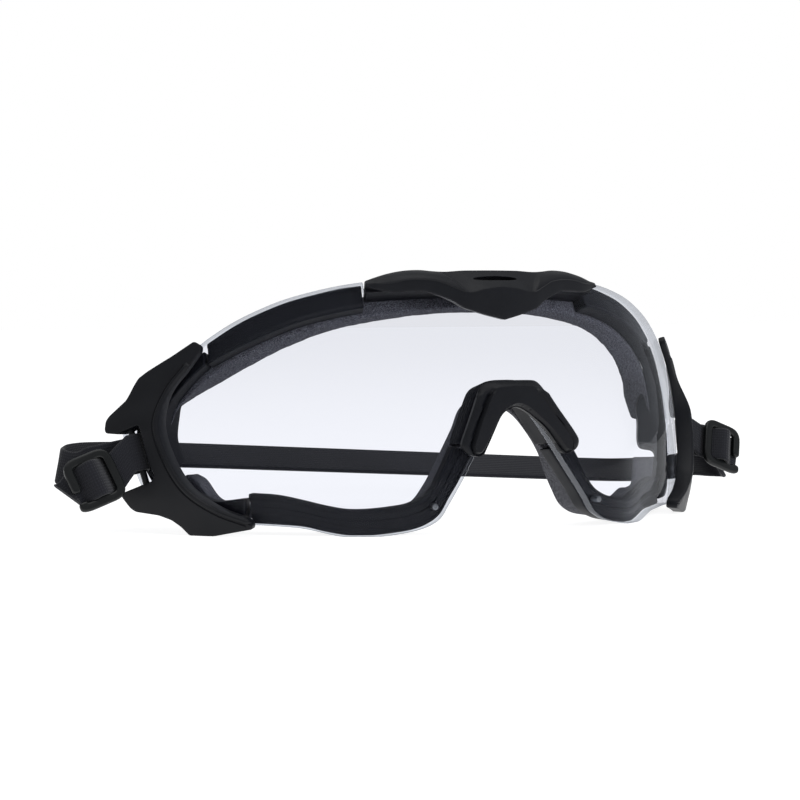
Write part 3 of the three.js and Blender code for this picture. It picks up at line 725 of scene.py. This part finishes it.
upper_rim = strip(
    layers(UPPER_RIM_TOP, UPPER_RIM_LOW, RIM_FRONT, RIM_REAR), 60, 0.3, (14, 2, 4, 2), 0.3, channel)
fit_pair("upper_rim", *upper_rim, [black_rubber], "rim_rubber")
wall_front, wall_low, _, _ = layers(WALL_OUTER, WALL_INNER, RIM_FRONT, RIM_REAR)
wall_rear = [with_depths(edge, WALL_DEPTHS) for edge in (WALL_INNER, WALL_OUTER)]
side_wall = strip([wall_front, wall_low, *wall_rear], 120, 0.4, (8, 6, 4, 4), 0.4)
fit_pair("side_wall", *side_wall, [black_rubber], "rim_rubber")
lower_rim = strip(
    layers(LOWER_RIM_OUTER, LOWER_RIM_INNER, RIM_FRONT, RIM_REAR), 120, 0.3, (18, 26, 4, 2), 0.3,
    twin_channel, ribs=(3, 0.45))
lower_rim[0][:, 2] = np.maximum(lower_rim[0][:, 2], FLOOR_CUT)
fit_pair("lower_rim", *lower_rim, [black_rubber], "rim_rubber")
saddle = strip(
    layers(both_sides(SADDLE_LOW), both_sides(SADDLE_TOP), RIM_FRONT, SADDLE_REAR), 140, 0.4,
    (6, 30, 4, 4), 0.4, ribs=(4, 0.5))
saddle_piece = make("nose_saddle_fine", spread_right_leg(saddle[0]), saddle[1], [black_rubber])
fit(saddle_piece, "front", "rim_rubber", "nose_saddle")

# %% [markdown]
# ## Foam
# Foam pads the rear of the frame against the face. It is soft-edged, and its surface is never
# quite even, so a slow noise moves the skin of the upper pad by a few tenths of a millimetre.

# %% Foam pads
FOAM_SEAT = -6.7
FOAM_TOP_FRONT = [
    (0, 66.2), (17, 66.4), (34, 66.4), (50, 64.2), (65, 60.4), (78, 55.2), (88, 50.6), (96, 46.7),
    (101, 42.5), (103.5, 36),
]
FOAM_LOW_FRONT = [
    (0, 61.4), (17, 61.2), (34, 60.2), (50, 58.4), (64, 55.4), (75, 51.8), (84, 47.7), (90, 44), (94.5, 40),
    (97.5, 34.5),
]
FOAM_TOP_REAR = [
    (0, 67), (17, 67.2), (34, 67.2), (50, 65), (66, 61.2), (79, 56.4), (89.5, 51.7), (98, 48), (104, 43.5),
    (107, 36.5),
]
FOAM_LOW_REAR = [
    (0, 61.7), (17, 61.5), (34, 60.2), (48, 58.4), (62, 54.7), (74, 50.7), (84, 47.3), (94, 44.1),
    (99.5, 41.5), (102.7, 35),
]
FOAM_DEPTHS = [-11.5, -11.5, -11.5, -11.5, -11.8, -12.4, -13, -13.2, -13.2, -12]
LOWER_FOAM_OUTER = [
    (98.5, 20), (93, 14.6), (86, 10.4), (76, 8), (66.5, 6.6), (57, 4.2), (48, 2.2), (40, 1.4), (33, 1.4),
    (28, 2.2), (23.6, 4.6), (20, 9.2), (16.4, 14.4), (13.4, 19.4), (9.8, 25.4), (6.6, 30.6), (3, 33.6),
]
LOWER_FOAM_INNER = [
    (93.6, 22.4), (90.6, 20.4), (86.2, 14), (76, 11.4), (65.6, 10.4), (56.6, 8.2), (48, 6.1), (40.5, 5.2),
    (34, 5.4), (30.4, 6.2), (26.8, 7.8), (23.4, 11.6), (20, 16.8), (17, 22), (13.6, 27.6), (10.2, 33.4),
    (4.4, 36.6),
]
LOWER_FOAM_DEPTHS = [FOAM_SEAT] * 13 + [-7.2] + [-9.4] * 3
LOWER_FOAM_REAR = -12.6


def apply_changes(piece):
    """Turns what the modifiers show into the piece's own mesh."""
    bpy.context.view_layer.update()
    shaped = bpy.data.meshes.new_from_object(piece.evaluated_get(bpy.context.evaluated_depsgraph_get()))
    piece.modifiers.clear()
    piece.data = shaped


def roughen(piece, size, depth):
    """Moves the skin by a slow cloud noise, and applies it."""
    cloud = bpy.data.textures.new(f"{piece.name}_cloud", "CLOUDS")
    cloud.noise_scale = size * MM
    uneven = piece.modifiers.new("uneven", "DISPLACE")
    uneven.texture = cloud
    uneven.strength = depth * MM
    uneven.mid_level = 0.6
    apply_changes(piece)


foam_edges = [
    [(s, z, FOAM_SEAT) for s, z in FOAM_TOP_FRONT],
    [(s, z, FOAM_SEAT) for s, z in FOAM_LOW_FRONT],
    with_depths(FOAM_LOW_REAR, FOAM_DEPTHS),
    with_depths(FOAM_TOP_REAR, FOAM_DEPTHS),
]
upper_pad = strip([both_sides(e) for e in foam_edges], 240, 0.9, (8, 8, 8, 8), 2.2)
upper_foam = make("foam_upper_fine", *upper_pad, [charcoal_foam])
roughen(upper_foam, 2.2, 0.3)
fit(upper_foam, "front", "foam", "foam_upper")
NOSE_FLARE = [0, 0, 0, 0, 0, 0, 0, -0.2, -1, -1.8, -1.6, -1, 0.2, 1.6, 2.2, 1.8, 1]


def foam_back(edge, share):
    """The rear edge of the lower foam flares away from the nose."""
    return [(s + share * flare, z, LOWER_FOAM_REAR) for (s, z), flare in zip(edge, NOSE_FLARE)]


lower_foam = strip(
    [
        with_depths(LOWER_FOAM_OUTER, LOWER_FOAM_DEPTHS), with_depths(LOWER_FOAM_INNER, LOWER_FOAM_DEPTHS),
        foam_back(LOWER_FOAM_INNER, -0.2), foam_back(LOWER_FOAM_OUTER, 1),
    ],
    180, 0.5, (8, 8, 8, 8), 0.9)
lower_foam[0][:, 2] = np.maximum(lower_foam[0][:, 2], FLOOR_CUT)
for pad in fit_pair("foam_lower", *lower_foam, [charcoal_foam], "foam"):
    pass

# %% [markdown]
# ## Side arms
# Each arm is a stiff clip in front of the lens. It is a plate whose front is thin at the brow
# and deep round the fork that holds the strap post, with a soft bead along its inner edge.

# %% Side arms
ARM_INNER = [(85.8, 48.7), (91.2, 43.4), (93.8, 36), (92, 27), (87.8, 18.8), (80.6, 12.6), (73.4, 9)]
ARM_REST = [
    (72.2, 7.9), (72.3, 6.2), (84, 5.7), (89.2, 5.8), (91.8, 9.2), (94, 11.2), (97.4, 12.9), (104, 14.7),
    (105.4, 15.8), (107.6, 19.2), (107, 20), (97.2, 21.7), (96.5, 22.9), (97.7, 26.3), (99.3, 35.2),
    (99.8, 36.2), (105.9, 35), (110, 35.6), (110.7, 36.4), (110.7, 39), (109.8, 40.2), (104.7, 43.6),
    (102.5, 46.7), (100.7, 48.8), (98, 50.1), (90, 53.1), (83.6, 56), (81.6, 54.6), (81.8, 53),
]
FORK_DEPTH = 4.7
BROW_THINNING, FOOT_THINNING = 2.6, 1.2
ARM_BEVEL = 0.35
LIP_BEAD, LIP_GROOVE = 0.85, 1.65
inner_curve = curve(ARM_INNER)
inner_line = np.array([inner_curve(u) for u in np.arange(61) / 60])


def arm_front(spots, distance):
    z = spots[:, 1]
    depth = FORK_DEPTH - BROW_THINNING * smooth_step(z, 34, 46) - FOOT_THINNING * (1 - smooth_step(z, 6, 18))
    from_inner = edge_distance(spots, [inner_line], closed=False)
    bead = 0.45 * np.sqrt(np.clip(1 - ((from_inner - LIP_BEAD) / 0.55) ** 2, 0, 1))
    groove = 0.4 * np.clip(1 - np.abs(from_inner - LIP_GROOVE) / 0.3, 0, 1)
    return depth + bead - groove - rounding(distance, ARM_BEVEL)


def arm_rear(spots, distance):
    return GAP + 0.6 * rounding(distance, ARM_BEVEL)


def beside(line, distance):
    """The line moved sideways, to its left."""
    run = np.gradient(line, axis=0)
    run /= np.linalg.norm(run, axis=1, keepdims=True)
    return line + distance * np.stack([-run[:, 1], run[:, 0]], axis=1)


arm_outline = soft_outline(np.vstack([inner_line, ARM_REST]), 0.7, 0.7)
lip_lines = [beside(inner_line, reach) for reach in (LIP_BEAD, LIP_GROOVE)]
arm = plate([arm_outline], 1.1, ARM_BEVEL, arm_front, arm_rear, on_lens, lip_lines)
arm[0][:, 2] = np.maximum(arm[0][:, 2], 0)
fit_pair("arm", arm[0], arm[1], [black_frame], "frame_plastic")

# %% [markdown]
# ## Posts and pegs
# A slim round post stands in the fork of each arm, and the strap loops round it. Two small
# pegs hold the lens at the foot of the nose. All of them are turned pieces with soft ends,
# because a sharp rim on a pin this small would look like paper.

# %% Strap posts
POST_LOW = (99.7, 18.3, 3.0)
POST_HIGH = (103.8, 38.5, 3.0)
POST_RADIUS = 0.9
post_low, post_high = on_lens([POST_LOW, POST_HIGH])
post_run = np.linalg.norm(post_high - post_low)
post_profile = [
    (0.5, GAP), (0.8, GAP + 0.08), (POST_RADIUS, GAP + 0.3), (POST_RADIUS, post_run / 2),
    (POST_RADIUS, post_run - GAP - 0.3), (0.8, post_run - GAP - 0.08), (0.5, post_run - GAP),
]
post = turned(post_profile, post_low, post_high - post_low)
fit_pair("strap_post", *post, [black_frame], "frame_plastic")

# %% Lens pegs
PEG_PLACE = (23.8, 6.9)
peg_rear, peg_head = on_lens([(*PEG_PLACE, -LENS_THICKNESS), (*PEG_PLACE, 0.45)])
peg_run = np.linalg.norm(peg_head - peg_rear)
peg_profile = [
    (0.6, 0), (0.85, 0.1), (0.85, peg_run - 0.35), (0.8, peg_run - 0.15), (0.6, peg_run - 0.03),
    (0.35, peg_run), (0.3, peg_run - 0.12), (0.1, peg_run - 0.15),
]
peg = turned(peg_profile, peg_rear, peg_head - peg_rear, 32)
fit_pair("lens_peg", *peg, [peg_metal], "peg_metal")

# %% [markdown]
# ## Nose clip
# The clip snaps over the lens above the nose. Its base has a wide bevel, and a raised arch
# stands on it with a thin groove round its outer side.

# %% Nose clip
CLIP_OUTLINE = [
    (0, 38.4), (8, 38.4), (9.5, 37), (10.9, 34), (13.3, 28.8), (16.3, 22.4), (15.6, 20.4), (13, 19),
    (10.4, 19), (9.6, 20.4), (5.7, 27.1), (4.1, 29.4), (2.2, 30.8), (0, 31.5),
]
ARCH_OUTLINE = [
    (0, 36.5), (5.4, 36.3), (7.3, 34.6), (9.1, 31.4), (11, 27.6), (13.5, 21.8), (12.9, 19.8), (11.4, 19.6),
    (10.3, 20.6), (6.2, 27.4), (4.4, 29.7), (2.4, 31.2), (0, 31.9),
]


def both_legs(half):
    """The clip is drawn from its middle, down the right leg and back; this adds the left leg."""
    return [*half, *[(-s, z) for s, z in half[-2:0:-1]]]


clip_outline = soft_outline(both_legs(CLIP_OUTLINE), 1.2, 0.5)
arch_outline = soft_outline(both_legs(ARCH_OUTLINE), 1.0, 0.5)


CLIP_DEPTH, ARCH_STEP, CLIP_BEVEL = 2.4, 1.0, 0.4


def clip_front(spots, distance):
    to_arch = edge_distance(spots, [arch_outline]) * np.where(inside(spots, [arch_outline]), 1, -1)
    step = ARCH_STEP * smooth_step(to_arch, -0.05, 0.25)
    groove = 0.7 * np.clip(1 - np.abs(to_arch + 0.3) / 0.35, 0, 1)
    bevel = 0.5 * (1 - np.clip(distance / 0.6, 0, 1))
    face = CLIP_DEPTH + step - groove
    slope = CLIP_DEPTH + ARCH_STEP + 0.75 * np.minimum(to_arch, 0)
    return face + smooth_step(spots[:, 1], 34.6, 36) * (slope - face) - bevel


def clip_rear(spots, distance):
    return GAP + 0.5 * rounding(distance, CLIP_BEVEL)


LEG_SLIMMING = 1.5
CLIP_LEG_INNER = [(21, 9.9), (28.4, 5.7), (32, 2.2), (33, 0)]
CLIP_LEG_OUTER = [(21, 16), (23.8, 16.3), (35, 10.9), (38, 9.5)]


def slim_right_leg(points):
    """Another adjustment of the drawn model: it moves the inner side of the right leg out."""
    moved = np.array(points, float)
    across, height = moved[:, 0] - OFFSET[0], moved[:, 2]
    inner = np.interp(height, *zip(*CLIP_LEG_INNER))
    outer = np.interp(height, *zip(*CLIP_LEG_OUTER))
    share = np.clip((outer - across) / (outer - inner), 0, 1) * smooth_step(across, 0, 2)
    moved[:, 0] += LEG_SLIMMING * share * (1 - smooth_step(height, 26, 33))
    return moved


arch_line = np.vstack([arch_outline, arch_outline[:1]])
clip = plate([clip_outline], 0.8, CLIP_BEVEL, clip_front, clip_rear, on_lens, [arch_line])
clip_points = spread_right_leg(slim_right_leg(clip[0]))
clip_piece = make("nose_clip_fine", clip_points, clip[1], [black_frame], smooth=50)
fit(clip_piece, "front", "frame_plastic", "nose_clip")

# %% [markdown]
# ## Brow cover
# The cover sits astride the top edge of the lens. It is lofted from sections: a sloping top,
# a crease, a front face that comes down to a point in the middle, and a raised shoulder at
# each end. The vent is a real slot, cut with a boolean, and foam shows behind it.

# %% Brow cover
BROW_SECTIONS = [
    (0, 54.1, 62.4, 68.8, 4.6), (5, 55.4, 61.9, 68.8, 4.4), (9, 56.7, 61.2, 68.8, 4),
    (11, 57.4, 61.6, 68.7, 3.9), (14, 59.4, 63, 68.6, 3.8), (17.4, 61, 64.5, 68.8, 3.8),
    (21.4, 62.4, 65.2, 69.3, 3.8), (26, 62.5, 65.3, 69.3, 3.8), (30, 62.6, 64.8, 68.8, 3.6),
    (33.6, 63.6, 65, 68, 3.3), (BROW_END, 64.6, 65.8, 67.1, 2.6),
]
BROW_REAR = -6.2
RIDGE_DEPTH = 0.8
LOBE_START, LOBE_SHIFT, LOBE_RISE = 9.5, 6.5, 0.8
half_brow = curve(BROW_SECTIONS)


def brow_ring(u):
    s, low, crease, top, front = half_brow(abs(2 * u - 1))
    s = math.copysign(s, u - 0.5)
    corners = np.array([
        (s, low, 2.8), (s, crease, front), (s, top, RIDGE_DEPTH), (s, top - 1.6, BROW_REAR),
        (s, BROW_SEAT, BROW_REAR), (s, BROW_SEAT, GAP), (s, (low + BROW_SEAT) / 2 + 0.5, GAP),
        (s, low + 1, GAP),
    ])
    ring = soft_ring(corners, 0.3, (8, 16, 4, 2, 2, 1, 1, 2))
    up_face = np.clip((ring[:, 1] - crease) / (top - crease), 0, 1)
    on_top = (ring[:, 2] > RIDGE_DEPTH - 0.2) & (ring[:, 1] > crease)
    lobe = smooth_step(abs(s) - LOBE_START - LOBE_SHIFT * up_face, 0, 1.4)
    lobe = lobe * (1 - smooth_step(abs(s), 30, BROW_END))
    ring[:, 2] += LOBE_RISE * lobe * on_top * np.sin(math.pi * np.clip(up_face * 0.9 + 0.1, 0, 1))
    return ring


def brow_rings():
    steps = [k / 240 for k in range(241)]
    rings = [brow_ring(u) for u in steps]
    for end in (0, -1):
        ring = rings[end]
        rings[end] = ring - 0.12 * (ring - ring.mean(axis=0))
    return [on_lens(r) for r in rings]


def cut(piece, cutter):
    tool = piece.modifiers.new("slot", "BOOLEAN")
    tool.object = cutter
    tool.solver = "EXACT"
    apply_changes(piece)
    bpy.data.objects.remove(cutter)


VENT_HALF, VENT_MIDDLE, VENT_RISE = 6.8, 65.6, 0.8
vent_outline = np.array([
    (VENT_HALF * math.cos(w), VENT_MIDDLE + VENT_RISE * math.sin(w)) for w in np.arange(48) / 48 * 2 * math.pi
])
vent_rings = [on_lens([(s, z, t) for s, z in vent_outline]) for t in (6, 2, -2, -6)]
brow_cover = make("brow_cover_fine", *loft(brow_rings()), [black_frame], smooth=35)
cut(brow_cover, make("vent_cutter", *loft(vent_rings), [black_frame]))
fit(brow_cover, "front", "frame_plastic", "brow_cover")
FILTER_HALF = 6.4
filter_top, filter_low = [[(s, z) for s in (-FILTER_HALF, 0, FILTER_HALF)] for z in (66.1, 65.1)]
vent_filter = strip(layers(filter_top, filter_low, -0.8, -2.8), 40, 0.2)
vent_foam = make("brow_vent_filter_fine", *vent_filter, [charcoal_foam])
fit(vent_foam, "front", "foam", "brow_vent_filter")

# %% [markdown]
# ## Strap
# The strap leaves the back run, turns at its outer end, passes round the post and comes back
# out to the slide. Its path is one smooth curve of points with the direction of its width.
# The loop curves round where it joins the run behind the lens.

# %% Strap path
STRAP_WIDTH, STRAP_THICKNESS = 10.0, 1.2
STRAP_LEAN = math.radians(54)
WRAP_RADIUS = POST_RADIUS + 0.15 + STRAP_THICKNESS / 2
SLIDE_TURN = math.radians(10)
SLIDE_THICKNESS = 1.6
SLIDE_LIFT = WRAP_RADIUS + STRAP_THICKNESS / 2 + GAP + SLIDE_THICKNESS / 2
WEAVE_RISE = SLIDE_LIFT + SLIDE_THICKNESS / 2 + 2 * GAP + STRAP_THICKNESS / 2 - WRAP_RADIUS
WEAVE_HALF = 4.9
LIE = {
    "left": {"sign": -1, "reach": 14, "drop": 5, "tail_end": 7.6, "tail_slant": 3.4, "turn_height": 16.6,
             "turn_reach": 1.8, "sag": 0.9, "droop": 0.9},
    "right": {"sign": 1, "reach": 11.8, "drop": 2.6, "tail_end": 7.2, "tail_slant": 1, "turn_height": 12.2,
              "turn_reach": 0, "sag": -2.6, "droop": 0},
}
post_low = post_low - OFFSET
post_high = post_high - OFFSET
along = (post_high - post_low) / np.linalg.norm(post_high - post_low)
aim = np.array([1, 0.17, 0])
out = aim - aim @ along * along
out /= np.linalg.norm(out)
rear = np.cross(along, out)
post_centre = (post_low + post_high) / 2 + along * 1.0
slide_out = out * math.cos(SLIDE_TURN) - along * math.sin(SLIDE_TURN)
slide_along = along * math.cos(SLIDE_TURN) + out * math.sin(SLIDE_TURN)
BACK_WIDE = np.array([0, math.sin(STRAP_LEAN), math.cos(STRAP_LEAN)])
TURN_WIDE = np.array([-0.34, 0.34, 0.88])
TURN_POINTS = [(101.9, 56.6), (103.5, 59.8), (101.3, 62.9), (96, STRAP_DEPTH)]


def on_slide(lie, outward, lift):
    start = post_centre + out * lie["reach"] - along * lie["drop"]
    return start + slide_out * outward - rear * lift


def back_run(x):
    return np.array([x, STRAP_DEPTH, 14.7 - 0.064 * x])


def run_height(lie, x):
    return back_run(lie["sign"] * x)[2]


def loop_frames(lie):
    frames = [(post_centre + out * 2.2 - rear * WRAP_RADIUS, along)]
    for turn in np.arange(7) / 6 * math.pi:
        point = post_centre - rear * WRAP_RADIUS * math.cos(turn) - out * WRAP_RADIUS * math.sin(turn)
        frames.append((point, along))
    frames += [(post_centre + rear * WRAP_RADIUS + out * reach, along) for reach in (5.75, 11.5)]
    for i, (x, y) in enumerate(TURN_POINTS):
        share = (i + 1) / len(TURN_POINTS)
        height = lie["turn_height"] + (run_height(lie, x) - lie["sag"] - lie["turn_height"]) * share * share
        x += lie["turn_reach"] * math.sin(math.pi * min(share, 0.9))
        wide = TURN_WIDE + (BACK_WIDE - TURN_WIDE) * max(2 * share - 1, 0)
        frames.append((np.array([x, y, height]), wide))
    for x, part in ((88, 0.5), (74, 0.1), (60, 0), (45, 0), (30, 0)):
        frames.append((np.array([x, STRAP_DEPTH, run_height(lie, x) - lie["sag"] * part]), BACK_WIDE))
    return frames


def tail_frames(lie):
    at_post = post_centre + out * 2.2 - rear * WRAP_RADIUS
    at_slide = on_slide(lie, -WEAVE_HALF - 1.6, WRAP_RADIUS)
    frames = [(at_post, along, 0), (at_post * 0.5 + at_slide * 0.5, along * 0.5 + slide_along * 0.5, 0)]
    for outward in np.linspace(-WEAVE_HALF - 1.6, lie["tail_end"], 42):
        within = min(abs(outward) / WEAVE_HALF, 1)
        rise = WEAVE_RISE * (0.5 + 0.5 * math.cos(math.pi * within))
        slant = lie["tail_slant"] * float(smooth_step(outward, WEAVE_HALF + 0.5, lie["tail_end"]))
        loose = lie["droop"] * float(smooth_step(outward, WEAVE_HALF, lie["tail_end"]))
        place = on_slide(lie, outward, WRAP_RADIUS + rise) - slide_along * loose
        frames.append((place, slide_along + rear * 0.5 * loose, slant))
    return frames


# %% [markdown]
# A ribbon is a loft of one section, carried along the path and turned with it. Simple bevel
# curves twist at tight bends, so each ring gets its width direction from the path instead.
# The map for the weave is written at the same time, from the distance travelled.

# %% Strap ribbons
def section(width, thickness):
    """Half-round edges on a flat band: (across, out of its face) pairs round the section."""
    half, r = width / 2, thickness / 2
    right = [(half - r + r * math.cos(w), r * math.sin(w)) for w in np.linspace(-math.pi / 2, math.pi / 2, 7)]
    top = [(x, r) for x in np.linspace(half - r, -half + r, 16)[1:-1]]
    left = [(-x, -y) for x, y in right]
    low = [(-x, -y) for x, y in top]
    return np.array(right + top + left + low)


def spread(frames, count):
    rows = [np.concatenate([f[0], f[1], [f[2] if len(f) > 2 else 0]]) for f in frames]
    path = curve(rows)
    fine = np.array([path(u) for u in np.linspace(0, 1, 1200)])
    travel = np.concatenate([[0], np.cumsum(np.linalg.norm(np.diff(fine[:, :3], axis=0), axis=1))])
    places = np.linspace(0, travel[-1], count + 1)
    return np.stack([np.interp(places, travel, column) for column in fine.T], axis=1), places


def ribbon(name, frames, count, sign):
    rows, places = spread(frames, count)
    shape = section(STRAP_WIDTH, STRAP_THICKNESS)
    rings = []
    for i, row in enumerate(rows):
        point, wide, slant = row[:3], row[3:6] / np.linalg.norm(row[3:6]), row[6]
        ahead = rows[min(i + 1, count), :3] - rows[max(i - 1, 0), :3]
        ahead /= np.linalg.norm(ahead)
        face = np.cross(ahead, wide)
        face /= np.linalg.norm(face)
        lead = shape[:, :1] / STRAP_WIDTH * slant * ahead
        rings.append(point + shape[:, :1] * wide + shape[:, 1:] * face + lead)
    points, faces = loft(rings)
    points = points + OFFSET
    if sign < 0:
        points = flip(points)
    piece = make(name, points, faces, [strap_weave], smooth=60)
    cloth = piece.data.uv_layers.new(name="cloth")
    n = len(shape)
    across = np.concatenate([np.tile(shape[:, 0], count + 1), [0, 0]])
    travel = np.concatenate([np.repeat(places, n), [places[0], places[-1]]])
    for loop_corner in piece.data.loops:
        v = loop_corner.vertex_index
        cloth.data[loop_corner.index].uv = (travel[v], across[v])
    print(f"{name}: {places[-1]:.0f} mm long")
    return piece


for side, lie in LIE.items():
    sign = lie["sign"]
    loop_piece = ribbon(f"{side}_strap_loop_fine", loop_frames(lie), 220, sign)
    bend_start, bend_end = [(sign * x + OFFSET[0] * MM, 0.0286, 0.015) for x in (0.032, 0.08)]
    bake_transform(loop_piece)
    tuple(bend_start)
    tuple(bend_end)
    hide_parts(f"{side}_strap_loop")
    tail_piece = ribbon(f"{side}_strap_tail_fine", tail_frames(lie), 120, sign)
    ends = np.array([post_centre + out * 3, on_slide(lie, -WEAVE_HALF, WRAP_RADIUS)]) + OFFSET
    ends = flip(ends) if sign < 0 else ends
    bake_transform(tail_piece)
    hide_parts(f"{side}_strap_tail")

middle_frames = [(back_run(x), BACK_WIDE) for x in (-30, -15, 0, 15, 30)]
band = ribbon("strap_band_fine", middle_frames, 60, 1)
fit(band, "front", "strap", "strap_band")

# %% [markdown]
# ## Slides
# Each slide is a flat ring with a centre bar. The strap passes over the centre bar, and the
# outer bar is split, so that the strap can be hooked in. It is a plate with two windows.

# %% Slides
SLIDE_LENGTH, SLIDE_HEIGHT, SLIDE_BAR, WINDOW_HEIGHT, HOOK_GAP = 13.6, 14.4, 2.5, 9.8, 2.6


def slide_loops():
    x, y = SLIDE_LENGTH / 2, SLIDE_HEIGHT / 2
    bar, w = SLIDE_BAR / 2, WINDOW_HEIGHT / 2
    gap_mid = -WINDOW_HEIGHT * 0.3
    inner = x - SLIDE_BAR
    outer = [
        (-x, -y), (x, -y), (x, gap_mid - HOOK_GAP / 2), (inner, gap_mid - HOOK_GAP / 2), (inner, -w),
        (bar, -w),
        (bar, w), (inner, w), (inner, gap_mid + HOOK_GAP / 2), (x, gap_mid + HOOK_GAP / 2), (x, y), (-x, y),
    ]
    window = [(-inner, -w), (-bar, -w), (-bar, w), (-inner, w)]
    return outer, window


def slide_outline():
    outer, window = slide_loops()
    ring = []
    for i, p in enumerate(outer):
        c, before, after = [np.array(q, float) for q in (p, outer[i - 1], outer[(i + 1) % len(outer)])]
        radius = 4.0 if i in (0, 1, 10, 11) else 1.2
        r0, r1 = [min(radius, 0.48 * np.linalg.norm(q - c)) for q in (before, after)]
        start = c + (before - c) / np.linalg.norm(before - c) * r0
        end = c + (after - c) / np.linalg.norm(after - c) * r1
        ring += [(1 - w) ** 2 * start + 2 * w * (1 - w) * c + w * w * end for w in np.arange(7) / 6]
    return [soft_outline(ring, 0.1, 0.4), soft_outline(window, 1.2, 0.4)]


SLIDE_BEVEL = 0.6
for side, lie in LIE.items():
    def on_ring(rows, lie=lie):
        placed = np.outer(rows[:, 0], slide_out) + np.outer(rows[:, 1], slide_along)
        placed = on_slide(lie, 0, SLIDE_LIFT) + placed - np.outer(rows[:, 2], rear) + OFFSET
        return flip(placed) if lie["sign"] < 0 else placed

    half = SLIDE_THICKNESS / 2
    ring = plate(
        slide_outline(), 0.7, SLIDE_BEVEL,
        lambda spots, d: half - rounding(d, SLIDE_BEVEL),
        lambda spots, d: -half + rounding(d, SLIDE_BEVEL), on_ring)
    piece = make(f"{side}_strap_slide_fine", ring[0], ring[1], [slide_plastic], smooth=60)
    fit(piece, f"{side}_end", "slide_plastic", f"{side}_strap_slide")

# %% [markdown]
# ## Studio
# The goggles stand on a pale floor in soft light. The world is white where it is seen, and
# greyer where it lights, so that the black mouldings keep their depth.

# %% World and floor
scene = bpy.context.scene
scene.view_settings.view_transform = "Standard"
world = bpy.data.worlds.new("studio")
scene.world = world
world.use_nodes = True
tree = world.node_tree
lighting = tree.nodes["Background"]
lighting.inputs["Color"].default_value = (0.95, 0.97, 1.0, 1)
lighting.inputs["Strength"].default_value = 0.42
seen = tree.nodes.new("ShaderNodeBackground")
seen.inputs["Color"].default_value = (1, 1, 1, 1)
seen.inputs["Strength"].default_value = 1.0
path = tree.nodes.new("ShaderNodeLightPath")
either = tree.nodes.new("ShaderNodeMixShader")
tree.links.new(path.outputs["Is Camera Ray"], either.inputs["Fac"])
tree.links.new(lighting.outputs["Background"], either.inputs[1])
tree.links.new(seen.outputs["Background"], either.inputs[2])
tree.links.new(either.outputs["Shader"], tree.nodes["World Output"].inputs["Surface"])

floor_finish, _, floor_shader = new_finish("pale floor")
floor_shader.inputs["Base Color"].default_value = (0.35, 0.35, 0.355, 1)
floor_shader.inputs["Roughness"].default_value = 0.9
floor_shader.inputs["Emission Color"].default_value = (1, 1, 1, 1)
floor_shader.inputs["Emission Strength"].default_value = 0.87
floor_size = 3000
corners = [(x * floor_size, y * floor_size, -0.02) for x, y in ((-1, -1), (1, -1), (1, 1), (-1, 1))]
floor = make("floor", corners, [(0, 1, 2, 3)], [floor_finish])

# %% [markdown]
# Three softboxes light the goggles: a wide one above, a weak one on the left, and a low one
# at the front right that reaches the underside of the foam. The two at the sides are hidden
# from reflections, or each would leave a bright window in the curved lens.

# %% Lamps
def softbox(name, place, size, watts):
    lamp = bpy.data.lights.new(name, "AREA")
    lamp.shape = "RECTANGLE"
    lamp.size, lamp.size_y = size
    lamp.energy = watts
    holder = bpy.data.objects.new(name, lamp)
    scene.collection.objects.link(holder)
    holder.location = place
    holder.rotation_euler = (Vector((0, 0, 0.03)) - Vector(place)).to_track_quat("-Z", "Y").to_euler()
    return holder


softbox("top softbox", (-0.1, -0.1, 1.3), (1.6, 1.2), 8)
softbox("left softbox", (-1.2, -0.9, 0.7), (0.8, 0.8), 1.2)
softbox("right softbox", (0.75, -1.3, 0.25), (0.5, 0.9), 20)
for name in ("left softbox", "right softbox"):
    bpy.data.objects[name].visible_glossy = False

# %% [markdown]
# The camera stands low and to the left, far enough away for little perspective.

# %% Camera
TARGET = Vector((OFFSET[0] * MM, 0.0676 + OFFSET[1] * MM, 0.0323))
AZIMUTH, ELEVATION, DISTANCE = math.radians(28.77), math.radians(2.54), 0.716
away = Vector((
    -math.sin(AZIMUTH) * math.cos(ELEVATION), -math.cos(AZIMUTH) * math.cos(ELEVATION), math.sin(ELEVATION)))
camera_data = bpy.data.cameras.new("camera")
camera_data.lens = 113.9
camera_data.clip_start = 0.01
camera = bpy.data.objects.new("camera", camera_data)
scene.collection.objects.link(camera)
camera.location = TARGET + away * DISTANCE
camera.rotation_euler = (-away).to_track_quat("-Z", "Y").to_euler()
scene.camera = camera
print("camera at", [round(c, 3) for c in camera.location])
